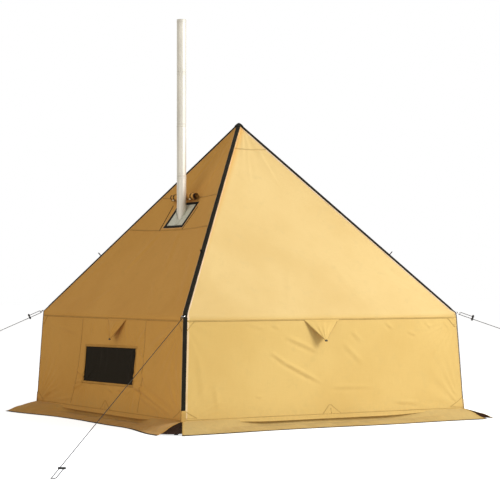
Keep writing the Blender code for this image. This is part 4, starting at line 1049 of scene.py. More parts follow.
def make_roof():
    bm = bmesh.new()
    for side, out in SIDES.items():
        def shape(across, depth):
            if depth > 1 - LIP_SHARE:
                return over_eave(side, across, (depth - 1 + LIP_SHARE) / LIP_SHARE)
            return roof_at(side, across, depth / (1 - LIP_SHARE))
        faces = lay(bm, ROOF_COLUMNS, ROOF_ROWS, shape, (2 * EAVE_HALF, roof_run(side)), roof_normal(out))
        if side == "door":
            cut_room(bm, faces, doorway_planes())
        if side == "window":
            cut_room(bm, faces, jack_planes(0.010))
    bmesh.ops.remove_doubles(bm, verts=bm.verts, dist=2e-4)
    roof = show("roof", bm, CANVAS, stands_for=[f"roof_{side}" for side in SIDES], **SHEET)
    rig.sheet(
        roof, flat=(5.2, 4.2), area=9.9, held="stretched",
        rests_on=["pole_upper"] + [f"corner_pole_{corner}" for corner in CORNERS],
    )


# Walls

WALL_ROWS = 72
WINDOW_SIZE = (0.93, 0.31)
WINDOW_BINDING_WIDTH = 0.020
WINDOW_CORNERS = ((-0.414, 0.611), (0.521, 0.623), (0.487, 0.315), (-0.440, 0.307))


def window_place(across, down, grow=0.0):
    """A place in the window: across 0 to 1 and down 0 to 1 between its corners, grown all round."""
    top_left, top_right, low_right, low_left = (Vector((x, z, 0)) for x, z in WINDOW_CORNERS)
    place = top_left.lerp(top_right, across).lerp(low_left.lerp(low_right, across), down)
    return place.x + grow * (2 * across - 1), place.y + grow * (1 - 2 * down)


def window_planes(lap):
    """The planes of the window's four edges, a lap inside them, facing out of the window."""
    corners = [Vector((0, -x, z)) for x, z in WINDOW_CORNERS]
    planes = []
    for here, there in zip(corners, corners[1:] + corners[:1]):
        outward = (there - here).cross(SIDES["window"]).normalized()
        middle = sum(corners, Vector()) / 4
        outward *= math.copysign(1, (here - middle).dot(outward))
        planes.append((here - outward * lap, outward))
    return planes


def wall_grid(bm, side, low, high, columns):
    """Lays a grid on a wall between two places across; None reaches the corner."""
    def shape(across, depth):
        height = SEAM_HEIGHT + (HEM_HEIGHT - SEAM_HEIGHT) * depth
        corner = wall_reach(height) - 0.0008
        left = -corner if low is None else low
        right = corner if high is None else high
        return on_wall(side, left + (right - left) * (across + 1) / 2, height)
    left = -EAVE_HALF if low is None else low
    right = EAVE_HALF if high is None else high
    return lay(bm, columns, WALL_ROWS, shape, (right - left, SEAM_HEIGHT - HEM_HEIGHT), SIDES[side])


def make_walls():
    for side, area in {"front": 2.05, "window": 1.76, "back": 2.05}.items():
        bm = bmesh.new()
        faces = wall_grid(bm, side, None, None, 250)
        if side == "window":
            cut_room(bm, faces, window_planes(0.006))
        wall = show(f"cloth_wall_{side}", bm, CANVAS, stands_for=[f"wall_{side}"], **SHEET)
        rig.sheet(wall, flat=(2.69, 0.77), area=area, held="stretched", rests_on=["roof"])
    for name, low, high in (("wall_door_left", None, -DOOR_HALF), ("wall_door_right", DOOR_HALF, None)):
        bm = bmesh.new()
        wall_grid(bm, "door", low, high, 90)
        wall = show(f"cloth_{name}", bm, CANVAS, stands_for=[name], **SHEET)
        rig.sheet(wall, flat=(0.945, 0.77), held="stretched", rests_on=["roof"])


# Skirt

# A skirt's ends, and the two that differ: how far out from the wall and how far past its corner
SKIRT_END = (0.264, 0.097)
SKIRT_ENDS = {("front", -1): (0.225, 0.124), ("front", 1): (0.120, 0.160)}
SKIRT_LOW = 0.003
SKIRT_RIPPLE = 0.010
SKIRT_WAVE_RATE = 7.3
# Out and up from the wall's foot: tucked under the hem in the middle, and sloping free at the ends
TUCK_OUT = (-0.004, -0.014, -0.019, -0.011, 0.022, 0.085, 0.150)
TUCK_HEIGHT = (0.0885, 0.070, 0.047, 0.028, 0.025, 0.010, 0.003)
FREE_HEIGHT = (0.0890, 0.079, 0.067, 0.052, 0.035, 0.016, 0.003)
SKIRT_ROWS = len(TUCK_OUT) - 1
HEM_DROP = 0.026


def along_shares(shares, spot):
    """A smooth curve through evenly spaced shares."""
    index = min(int(spot), len(shares) - 2)
    return curve(shares, index, spot - index)


def tuck_strength(across):
    """1 along the middle of a side, where the skirt is tucked under the hem, and 0 at its ends."""
    return 1 - ease(abs(across), 0.40, 0.95)


def on_skirt(side, across, depth, lift=0.0):
    """A point on the skirt: a tuck under the hem, then a run to the ground and out along it."""
    out = SIDES[side]
    spot = depth * SKIRT_ROWS
    tucked = tuck_strength(across)
    end_reach, end_side = SKIRT_ENDS.get((side, 1 if across > 0 else -1), SKIRT_END)
    wave = math.sin(SKIRT_WAVE_RATE * across + spot)
    ripple = SKIRT_RIPPLE * wave * depth * (1 - across ** 4)
    reach = end_reach * depth * (1 - tucked) + along_shares(TUCK_OUT, spot) * tucked + ripple
    half = wall_reach(HEM_HEIGHT) - 0.0045 + end_side * depth
    height = along_shares(FREE_HEIGHT, spot) * (1 - tucked) + along_shares(TUCK_HEIGHT, spot) * tucked
    height = max(height, SKIRT_LOW)
    loose = ease(depth, 0.45, 0.65) * (1 - ease(depth, 0.75, 1.0))
    folds = 0.0038 * math.sin(23 * across + 3 * math.sin(4 * across) + 5 * depth) * loose
    folds += 0.0022 * math.sin(57 * across + 2 * math.sin(9 * across) - 4 * depth) * loose
    height += max(folds, -0.5 * (height - SKIRT_LOW))
    reach += wall_reach(HEM_HEIGHT) + lift * 0.3
    return out * reach + along(out) * (across * half) + UP * (height + lift)


def make_skirts():
    """The skirts, with the binding along their outer edges and a hem at each end."""
    for side, out in SIDES.items():
        def edge(across, depth):
            return on_skirt(side, across, 0.945 + 0.055 * depth, 0.0006) + out * (0.002 * depth)
        skirt = laid(
            f"cloth_skirt_{side}", SKIRT_CANVAS, 220, 30, lambda a, d: on_skirt(side, a, d), (2.78, 0.21),
            out + UP, stands_for=[f"skirt_{side}"], **SHEET,
        )
        walls = [f"cloth_wall_{side}"]
        if side == "door":
            walls = ["cloth_wall_door_left", "cloth_wall_door_right"]
        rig.sheet(skirt, flat=(2.88, 0.27), area=0.64, held="laid", rests_on=walls)
        laid(f"skirt_edge_{side}", BINDING, 160, 3, edge, (2.88, 0.016), out + UP, thick=0.0012)
        bm = bmesh.new()
        for end in (-1, 1):
            def end_hem(across, depth):
                return on_skirt(side, end * (1 - 0.013 * depth), 0.94 * (across + 1) / 2, 0.0006)
            lay(bm, 30, 2, end_hem, (0.21, 0.017), out + UP)
        show(f"skirt_end_hems_{side}", bm, SEAM, thick=0.0012)


# Guy ropes

def corner_ways(corner):
    """A corner's diagonal, the way across it, and the seat of its ring."""
    first, second = (SIDES[side] for side in CORNERS[corner])
    diagonal = (first + second).normalized()
    return diagonal, UP.cross(diagonal), eave_corner(corner) + diagonal * RING_SEAT


def peg_point(corner):
    """The middle of the peg's loop, just clear of the ground."""
    x, y = PEG_PLACES[corner]
    seat = corner_ways(corner)[2]
    flat = math.hypot(x - seat.x, y - seat.y)
    slope = seat.z / math.hypot(flat, seat.z)
    return Vector((x, y, ROPE_DIAMETER / 2 + PEG_CLEARANCE + PEG_LOOP * slope))


def ring_way(corner):
    """The way a ring points from its seat: along its rope, or hanging where it has none."""
    diagonal, _, seat = corner_ways(corner)
    if corner not in PEG_PLACES:
        return -UP
    pull = peg_point(corner) - seat
    level = Vector((pull.x, pull.y, 0)).length
    return (diagonal * level + UP * pull.z).normalized()


def rope_frame(corner):
    """The rope's two loop centres, its way and the ways across its loops."""
    seat = corner_ways(corner)[2]
    ring_end = seat + ring_way(corner) * RING_REACH
    peg_end = peg_point(corner)
    way = (peg_end - ring_end).normalized()
    ring_end += way * (RING_LOOP - RING_WIRE / 2 - ROPE_DIAMETER / 2 - LOOP_SEAT[corner])
    level = way.cross(UP).normalized()
    return ring_end, peg_end, way, level, level.cross(way).normalized()


def rope_strand(corner):
    """The straight strand, from under the ring's loop to a side of the peg's loop, and its way."""
    ring_end, peg_end, _, level, above = rope_frame(corner)
    start, finish = ring_end - above * RING_LOOP, peg_end + level * PEG_LOOP
    return start, finish, (finish - start).normalized()


def rope_parts(corner):
    """The route's points: the tail at the ring, the rope itself and the tail at the peg."""
    ring_end, peg_end, way, level, above = rope_frame(corner)
    start, finish, slide = rope_strand(corner)
    to_slider = SLIDER_PLACE[corner] - (SLIDER_LENGTH / 2 + SLIDER_GAP)
    ring_return, peg_return = (LOOP_RETURN, to_slider) if corner == "near" else (to_slider, LOOP_RETURN)
    ring_tail = [ring_end + above * RING_LOOP + slide * (ring_return * share) for share in (1.0, 0.66, 0.33)]
    peg_tail = [peg_end - level * PEG_LOOP - slide * (peg_return * share) for share in (0.33, 0.66, 1.0)]
    rope = arc(ring_end, above * RING_LOOP, way * -RING_LOOP, 4) + line_of(start, finish, 12)[1:-1]
    return ring_tail, rope + arc(peg_end, level * PEG_LOOP, way * PEG_LOOP, 4), peg_tail


def make_rope(corner):
    """A guy rope with its two tails, its lashing and its slider."""
    ring_tail, route, peg_tail = rope_parts(corner)
    line = smooth_line(ring_tail + route + peg_tail, ROPE_SMOOTHING)
    first = len(ring_tail) * ROPE_SMOOTHING
    last = len(line) - len(peg_tail) * ROPE_SMOOTHING - 1
    points = line[first:last + 1]
    rope = piped(f"rope_{corner}", ROPE, points, ROPE_DIAMETER / 2, 12, stands_for=[f"guy_rope_{corner}"])
    lashed = "ring" if corner == "near" else "peg"
    tails = {"ring": line[:first + 1], "peg": line[last:]}
    pieces = []
    for end, tail in tails.items():
        body = "tent" if end == lashed else None
        piece = piped(f"rope_{corner}_{end}_tail", ROPE, tail, ROPE_DIAMETER / 2, 12, body)
        if end != lashed:
            anchor, moving = (tail[-1], tail[0]) if end == "ring" else (tail[0], tail[-1])
            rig.blend(piece, "tent", f"slider_{corner}", start=anchor, end=moving)
        pieces.append(piece)
    pieces += [whip_lashing(corner, tails[lashed], lashed == "ring"), make_slider(corner)]
    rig.cord(
        rope, exit=points[0], length=line_length(points), diameter=ROPE_DIAMETER,
        far_end="knot", stiffness="limp", lay="taut", path=points, with_pieces=pieces,
    )


def whip_lashing(corner, tail, at_start):
    """The turns of thread that bind a short tail to the rope beside it."""
    start, _, slide = rope_strand(corner)
    tip, inward = (tail[0], -slide) if at_start else (tail[-1], slide)
    beside = start + slide * (tip - start).dot(slide)
    middle, apart = (tip + beside) / 2, tip - beside
    across = (apart - slide * apart.dot(slide)).normalized()
    wide, thick = across * (apart.length / 2 + LASHING_RADIUS), slide.cross(across) * LASHING_RADIUS
    turns, forward = LASHING_TURNS, inward * (LASHING_PITCH * LASHING_TURNS)
    bm = bmesh.new()
    for seat in LASHING_SEATS:
        points = arc(middle + inward * seat, wide, thick, 8 * turns, math.tau * turns, forward)
        tube(bm, points, THREAD_RADIUS, 6)
    return show(f"rope_{corner}_lashing", bm, LASHING)


def slider_frame(corner):
    """A slider's middle, the way along its strand and the way across to the other strand."""
    level, above = rope_frame(corner)[3:]
    start, finish, slide = rope_strand(corner)
    if corner == "near":
        return finish - slide * SLIDER_PLACE[corner], slide, -level, PEG_LOOP
    return start + slide * SLIDER_PLACE[corner], slide, above, RING_LOOP


def make_slider(corner):
    """A flat slider with two eyes: the rope runs through one and its end is tied in the other."""
    on_strand, slide, over, loop = slider_frame(corner)
    third = slide.cross(over).normalized()
    across = third.cross(slide)
    centre = on_strand + across * loop
    bm = bmesh.new()
    for vert in bmesh.ops.create_grid(bm, x_segments=16, y_segments=2, size=1)["verts"]:
        place = vert.co.x * SLIDER_OUTLINE[-1][0]
        wide = SLIDER_OUTLINE[0][1]
        for low, high in zip(SLIDER_OUTLINE, SLIDER_OUTLINE[1:]):
            if low[0] <= place <= high[0]:
                wide = low[1] + (high[1] - low[1]) * ease(place, low[0], high[0])
        vert.co = Vector((place, SLIDER_THICKNESS / 2, vert.co.y * wide))
    extruded = bmesh.ops.extrude_face_region(bm, geom=list(bm.faces))["geom"]
    lifted = [item for item in extruded if isinstance(item, bmesh.types.BMVert)]
    bmesh.ops.translate(bm, verts=lifted, vec=(0, -SLIDER_THICKNESS, 0))
    bmesh.ops.transform(bm, matrix=placed(centre, across, third, slide), verts=bm.verts)
    bmesh.ops.recalc_face_normals(bm, faces=bm.faces)
    for swing in (-loop, loop):
        for face in (-SLIDER_FACE, SLIDER_FACE):
            middle = centre + across * swing + slide * face
            tube(bm, loop_of(middle, across * SLIDER_EYE, third * SLIDER_EYE, 16), 0.0013, 6, cyclic=True)
    body, node = f"slider_{corner}", f"rope_slider_{corner}"
    return soften(show(body, bm, SLIDER_PLASTIC, body=body, stands_for=[node]), 0.0012)


# Seams, patches and webbing

STRAP_WIDTH = 0.043
STRIP_WIDTH = 0.064
POCKET_WIDTH = 0.052
STAKE_LOOP_WIDTH = 0.030
ROOF_SEAM_WIDTH = 0.012
EAVE_SEAM_WIDTH = 0.013
HEM_SEAM_WIDTH = 0.006
HEM_BAND_WIDTH = 0.036
PATCH_SEAM_WIDTH = 0.007
PANEL_SEAM_WIDTH = 0.010
# The heights of the roof seams of the one side that differs
ROOF_SEAMS = {"window": (1.880, 1.606)}
# The share of a corner's webbing that lies on the first of its two walls
STRAP_SPLIT = {"near": 0.75, "left": 0.125, "far": 0.5, "right": 0.875}
CAP_DROP = 0.030
CAP_ROUND = 0.011
# Out from the corner's foot and up
STAKE_LOOP_LINE = (
    (0.008, 0.080), (0.024, 0.070), (0.048, 0.056), (0.078, 0.038), (0.108, 0.021), (0.138, 0.0066),
    (0.160, 0.0028),
)
MID_TAB_HEIGHT = 1.380
MID_TAB_LENGTH = 0.034
TAB_WIDTH = 0.018


def line_tape(bm, line, width, step, place_at, outward):
    """A tape sewn along a line; place_at gives a point of its cloth."""
    length = line_length(line)

    def at(t, s):
        place, way = line_at(line, t)
        return place_at(place.x - way.y * s * width / 2, place.y + way.x * s * width / 2)
    tape(bm, at, length, width, max(int(length / step), 4), 3, outward)


def wall_tape(bm, side, line, width, lift):
    """A tape sewn on a wall along a line of (across, height) places."""
    points = smooth_line([Vector((x, z, 0)) for x, z in line], 8)
    line_tape(bm, points, width, 0.010, lambda x, z: on_wall(side, x, z, lift), SIDES[side])


def roof_tape(bm, side, start, finish, steps, width, lift):
    """A straight tape sewn on a roof panel between two (across, drop) places."""
    points = line_of(Vector((*start, 0)), Vector((*finish, 0)), steps)
    normal = roof_normal(SIDES[side])
    line_tape(bm, points, width, 0.012, lambda x, drop: on_roof(side, x, drop, lift), normal)


def roof_half(side, drop, margin):
    """The across places of a roof panel's two ridges at a drop, less a margin."""
    down = drop / roof_run(side)
    middle = PEAK.dot(along(SIDES[side])) * (1 - down)
    return middle - down * EAVE_HALF + margin, middle + down * EAVE_HALF - margin


def make_roof_seams():
    """The felled seams that join the widths of cloth in each roof panel."""
    for side in SIDES:
        bm = bmesh.new()
        for height in ROOF_SEAMS.get(side, (2.290,)):
            drop = roof_drop(side, height)
            left, right = roof_half(side, drop, 0.014)
            roof_tape(bm, side, (left, drop), (right, drop), 24, ROOF_SEAM_WIDTH, 0.0009)
        show(f"roof_seam_{side}", bm, SEAM, thick=0.0008)


def make_eave_seams():
    """The seam that joins roof and wall, under the eave's bend, and the hem above the skirt."""
    for side, out in SIDES.items():
        gaps, columns = [(-1.0, 1.0)], 260
        if side == "door":
            gaps, columns = [(-1.0, -0.314), (0.314, 1.0)], 90
        seam, band, trim = (bmesh.new() for _ in range(3))
        for low, high in gaps:
            def eave_at(t, s):
                share = low + (high - low) * t
                height = SEAM_HEIGHT - 0.001 + EAVE_SEAM_WIDTH / 2 * s
                reach = wall_reach(height)
                pucker = 0.0006 * math.sin(310 * share) + 0.0005 * math.sin(173 * share + 1)
                return out * (reach + 0.0013 + pucker) + along(out) * (share * (reach - 0.019)) + UP * height

            def band_at(across, depth):
                share = low + (high - low) * (across + 1) / 2
                fall = 0.006 + (HEM_DROP - 0.002) * tuck_strength(share)
                height = HEM_HEIGHT + 0.004 - (0.004 + fall) * depth
                roll = 0.0016 * ease(depth, 0.6, 1.0) + 0.0006 * math.sin(190 * share) * depth
                return on_wall(side, share * (wall_reach(height) - 0.012), height, 0.0009 + roll)

            def hem_at(t, s):
                share = low + (high - low) * t
                height = HEM_HEIGHT + 0.007 + HEM_SEAM_WIDTH / 2 * s
                lift = 0.0012 + 0.0004 * math.sin(240 * share)
                return on_wall(side, share * (wall_reach(height) - 0.014), height, lift)
            tape(seam, eave_at, 1.280 * (high - low), EAVE_SEAM_WIDTH, columns, 2, out)
            lay(band, columns, 8, band_at, (1.325 * (high - low), HEM_BAND_WIDTH), out)
            tape(trim, hem_at, 1.325 * (high - low), HEM_SEAM_WIDTH, columns, 2, out)
        show(f"eave_seam_{side}", seam, SEAM, thick=0.0012)
        show(f"hem_band_{side}", band, CANVAS, thick=0.0012)
        show(f"hem_seam_{side}", trim, SEAM, thick=0.0006)


def both_ways(corner):
    """A corner's two sides, each with the other one and the sign of the way to it."""
    first, second = CORNERS[corner]
    pairs = ((first, second), (second, first))
    return [(side, other, math.copysign(1, SIDES[other].dot(along(SIDES[side])))) for side, other in pairs]


def corner_line(corner):
    """A corner's eave point, the way down its ridge, and the ways off it into its two panels."""
    eave = eave_corner(corner)
    ridge = (eave - PEAK).normalized()
    wings = []
    for side, other, _ in both_ways(corner):
        wing = roof_normal(SIDES[side]).cross(ridge)
        wings.append(wing * math.copysign(1, wing.dot(-SIDES[other])))
    return eave, ridge, wings


def ridge_normals(corner):
    """The way out from a ridge, and the way out from the first of its panels."""
    normals = [roof_normal(SIDES[side]) for side in CORNERS[corner]]
    return (normals[0] + normals[1]).normalized(), normals[0]


def on_corner(corner, fall, s, width, lift):
    """A point of a tape folded over a ridge and, past the eave, over the wall's corner."""
    eave, ridge, wings = corner_line(corner)
    run = (eave - PEAK).length
    split = 0.5 + (STRAP_SPLIT[corner] - 0.5) * ease(fall, run - 0.06, run + 0.03)
    spot = (s + 1) / 2 - split
    index = 0 if spot < 0 else 1
    side, other, sign = both_ways(corner)[index]
    out = SIDES[side]
    reach_out = abs(spot) * width
    if fall <= run:
        base = PEAK + ridge * fall
        way = wings[index].lerp(-SIDES[other], ease(fall, run - 0.05, run))
        if reach_out < 1e-6:
            both, normal = ridge_normals(corner)
            return base + both * (lift / both.dot(normal))
        flat = base + way * reach_out
        return on_roof(side, flat.dot(along(out)), (flat - PEAK).dot(down_roof(out)), lift)
    height = EAVE_HEIGHT - (fall - run)
    across = sign * (wall_reach(height) + lift - reach_out)
    if height < SEAM_HEIGHT:
        return on_wall(side, across, height, lift)
    return out * (wall_reach(height) + lift) + along(out) * across + UP * height


def corner_tape(name, finish, corner, start, end, width, lift, **how):
    """A piece of tape over a ridge and a corner."""
    length = end - start

    def at(t, s):
        flutter = 0.0005 * math.sin(38 * t * length) * abs(s) ** 3
        return on_corner(corner, start + length * t, s, width, lift + flutter)
    columns = max(int(length / 0.012), 4)
    sewn(f"{name}_{corner}", finish, at, length, width, columns, 8, corner_ways(corner)[0], sharp=80, **how)


def make_straps():
    """The webbing over each ridge and down each corner, on a paler strip of canvas."""
    for corner in CORNERS:
        foot = (eave_corner(corner) - PEAK).length + EAVE_HEIGHT - HEM_HEIGHT
        node = f"strap_{corner}"
        corner_tape("ridge_strip", EDGE_STRIP, corner, 0.030, foot - 0.016, STRIP_WIDTH, 0.0011, thick=0.0009)
        corner_tape(
            "ridge_webbing", WEBBING, corner, 0.036, foot - 0.064, STRAP_WIDTH, 0.0030,
            stands_for=[node], thick=0.0017,
        )
        corner_tape(
            "pole_pocket", SEAM, corner, foot - 0.080, foot + 0.020, POCKET_WIDTH, 0.0052, thick=0.0015,
        )
        make_tabs(corner)
        make_stake_loop(corner)
        make_painted_shade_sheet(corner)
        make_ring(corner)


def folded_tab(name, base, up_way, flat_way, wide_way, height, gap, **how):
    """A short length of webbing folded over, standing off its base."""
    top, off = base + up_way * (height - gap), flat_way * gap
    points = line_of(base + off, top + off, 6) + arc(top, off, up_way * gap, 8)[1:-1]
    points += line_of(top - off, base - off, 6)
    length = line_length(points)
    sewn(
        name, WEBBING, lambda t, s: line_at(points, t)[0] + wide_way * (s * TAB_WIDTH / 2),
        length, TAB_WIDTH, 40, 4, up_way, **how,
    )


def make_tabs(corner):
    """The loop that holds the D-ring, and the small loop half-way down the ridge."""
    diagonal, sideways, _ = corner_ways(corner)
    eave = eave_corner(corner)
    base = eave - diagonal * 0.001
    folded_tab(f"ring_tab_{corner}", base, diagonal, UP, sideways, 0.0195, 0.0055, thick=0.0016)
    outward = ridge_normals(corner)[0]
    base = PEAK.lerp(eave, (PEAK.z - MID_TAB_HEIGHT) / (PEAK.z - EAVE_HEIGHT)) + outward * 0.001
    flat = outward.cross(sideways).normalized()
    folded_tab(f"mid_tab_{corner}", base, outward, flat, sideways, MID_TAB_LENGTH, 0.0026, thick=0.0014)


def make_stake_loop(corner):
    """The webbing from the foot of a corner out over the skirt to the ground, with its loop."""
    first, second = (SIDES[side] for side in CORNERS[corner])
    diagonal, sideways, _ = corner_ways(corner)
    foot = (first + second) * wall_reach(HEM_HEIGHT)
    points = smooth_line([foot + diagonal * reach + UP * height for reach, height in STAKE_LOOP_LINE], 5)

    def at(t, s):
        bow = 0.0025 * (1 - s * s) * (1 - t)
        return line_at(points, t)[0] + sideways * (s * STAKE_LOOP_WIDTH / 2) + diagonal * bow
    sewn(
        f"stake_loop_{corner}", WEBBING, at, line_length(points), STAKE_LOOP_WIDTH, 44, 5, diagonal + UP,
        sharp=60, thick=0.0018,
    )


def make_painted_shade_sheet(corner):
    """A dark sheet of painted shade between the two skirts' ends, under the stake loop."""
    def shape(across, down):
        share = (across + 1) / 2
        depth = 0.04 + 0.80 * down
        edges = [on_skirt(side, sign * 0.995, depth, -0.0016) for side, _, sign in both_ways(corner)]
        sag = 0.012 * math.sin(math.pi * share) * math.sin(math.pi * min(down * 0.9, 1.0))
        place = edges[0].lerp(edges[1], share)
        return Vector((place.x, place.y, max(place.z - sag, 0.0016)))
    outward = corner_ways(corner)[0] + UP
    laid(f"skirt_gusset_{corner}", PAINTED_SHADE_CLOTH, 16, 20, shape, (0.20, 0.20), outward, sharp=60, thick=0.0010)


def make_ring(corner):
    """The drawn-steel D-ring at an eave corner."""
    _, sideways, seat = corner_ways(corner)
    half = sideways * RING_HALF_WIDTH
    points = line_of(seat - half, seat + half, 8)[1:-1] + arc(seat, half, ring_way(corner) * RING_REACH, 24)
    piped(
        f"d_ring_{corner}", RING_STEEL, points, RING_WIRE / 2, 16, cyclic=True,
        body="loose_ring" if corner == "far" else "tent", stands_for=[f"ring_{corner}"],
    )


def make_peak_cap():
    """The rounded webbing cap sewn over the peak."""
    bm = bmesh.new()
    share = CAP_DROP / (PEAK.z - EAVE_HEIGHT)
    for out in SIDES.values():
        def shape(across, down):
            bend = out * EAVE_HALF + along(out) * (across * EAVE_HALF) + UP * EAVE_HEIGHT
            flat = PEAK.lerp(bend, max(down, 0.0) * share * 1.25)
            drop = PEAK.z - flat.z
            flat.z = PEAK.z - math.hypot(drop, CAP_ROUND) + CAP_ROUND + 0.0016
            hang = ease(down, 0.75, 1.0) * 0.0035
            return flat - UP * hang + (flat - PEAK) * (0.10 * (1 - down))
        lay(bm, 16, 12, shape, (0.05, 0.04), roof_normal(out))
    bmesh.ops.remove_doubles(bm, verts=bm.verts, dist=2e-4)
    show("peak_webbing", bm, WEBBING, stands_for=["peak_cap"], sharp=70, thick=0.0018)


# Places across and up: the patch at a hem's middle and its seams, and the window side's panel seams
HEM_PATCH = ((0.006, 0.172), (0.016, 0.172), (0.118, 0.094), (-0.064, 0.094))
HEM_PATCH_LINES = (
    ((0.006, 0.172), (-0.029, 0.133), (-0.063, 0.096)), ((0.016, 0.172), (0.067, 0.133), (0.116, 0.096)),
    ((0.016, 0.143), (0.018, 0.122), (0.020, 0.100)),
)
PANEL_SEAMS = (
    ((-0.482, 0.839), (-0.516, 0.613), (-0.581, 0.297), (-0.649, 0.112)),
    ((0.680, 0.839), (0.666, 0.700), (0.634, 0.309), (0.603, 0.112)),
)


def flat_patch(bm, side, corners):
    """A four-sided patch laid on a wall between (across, height) corners."""
    a, b, c, d = (Vector((x, z, 0)) for x, z in corners)

    def shape(across, down):
        t = (across + 1) / 2
        place = a.lerp(b, t).lerp(d.lerp(c, t), down)
        return on_wall(side, place.x, place.y, 0.0010)
    lay(bm, 14, 14, shape, ((b - a).length, (d - a).length), SIDES[side])


def make_patches():
    """Reinforcing at the eave and hem corners, and at the middle of each hem."""
    for side in SIDES:
        patches, lines = [], []
        for sign in (-1, 1):
            top, low, foot = (
                sign * (reach - 0.0005) for reach in (EAVE_HALF, wall_reach(0.18), wall_reach(0.108))
            )
            patches.append(((sign * 1.210, 0.846), (top, 0.846), (top, 0.772), (sign * 1.262, 0.800)))
            lines.append(((sign * 1.210, 0.846), (sign * 1.236, 0.822), (sign * 1.282, 0.772)))
            patches.append(((low, 0.186), (sign * 1.285, 0.150), (sign * 1.212, 0.108), (foot, 0.108)))
            lines.append(((low, 0.186), (sign * 1.280, 0.147), (sign * 1.212, 0.110)))
        if side != "door":
            patches.append(HEM_PATCH)
            lines += HEM_PATCH_LINES
        cloth, trim = bmesh.new(), bmesh.new()
        for corners in patches:
            flat_patch(cloth, side, corners)
        for line in lines:
            wall_tape(trim, side, line, PATCH_SEAM_WIDTH, 0.0016)
        show(f"patches_{side}", cloth, CANVAS, thick=0.0008)
        show(f"patch_seams_{side}", trim, SEAM, thick=0.0005)
    bm = bmesh.new()
    for line in PANEL_SEAMS:
        wall_tape(bm, "window", line, PANEL_SEAM_WIDTH, 0.0010)
    show("window_panel_seams", bm, SEAM, thick=0.0007)


# Window

def make_window():
    """The net in the window's hole, and the binding sewn round it."""
    def shape(across, down):
        return on_wall("window", *window_place((across + 1) / 2, down, -0.001), -0.0009)
    net = laid(
        "net_panel", NET, 96, 34, shape, WINDOW_SIZE, SIDES["window"],
        stands_for=["window_net"], sharp=80, thick=0.0009,
    )
    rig.sheet(net, flat=WINDOW_SIZE, held="stretched", rests_on=["cloth_wall_window"])
    bm = bmesh.new()
    for start, finish, lift in (
        ((0, -0.03), (0, 1.03), 0.0016), ((1, -0.03), (1, 1.03), 0.0016),
        ((-0.011, 0), (1.011, 0), 0.0024), ((-0.011, 1), (1.011, 1), 0.0024),
    ):
        spots = [window_place(*place, 0.003) for place in line_of(Vector(start), Vector(finish), 6)]
        wall_tape(bm, "window", spots, WINDOW_BINDING_WIDTH, lift)
    show("binding_tape", bm, SEAM, stands_for=["window_binding"], thick=0.0010)


# Stove jack

PIPE_FOOT = Vector((-0.625, -0.023, 0))
PIPE_RADIUS = 0.040
PIPE_WALL = 0.0012
JACK_EDGE_WIDTH = 0.034
JACK_END_WIDTH = 0.025
JACK_FACING_WIDTH = 0.012


def roof_strips(name, finish, middle, strips, **how):
    """A piece of straight strips on the window side's roof, each between two places off a middle."""
    bm = bmesh.new()
    middle = Vector(middle)
    for start, end, width, lift in strips:
        roof_tape(bm, "window", middle + Vector(start), middle + Vector(end), 6, width, lift)
    show(name, bm, finish, **how)


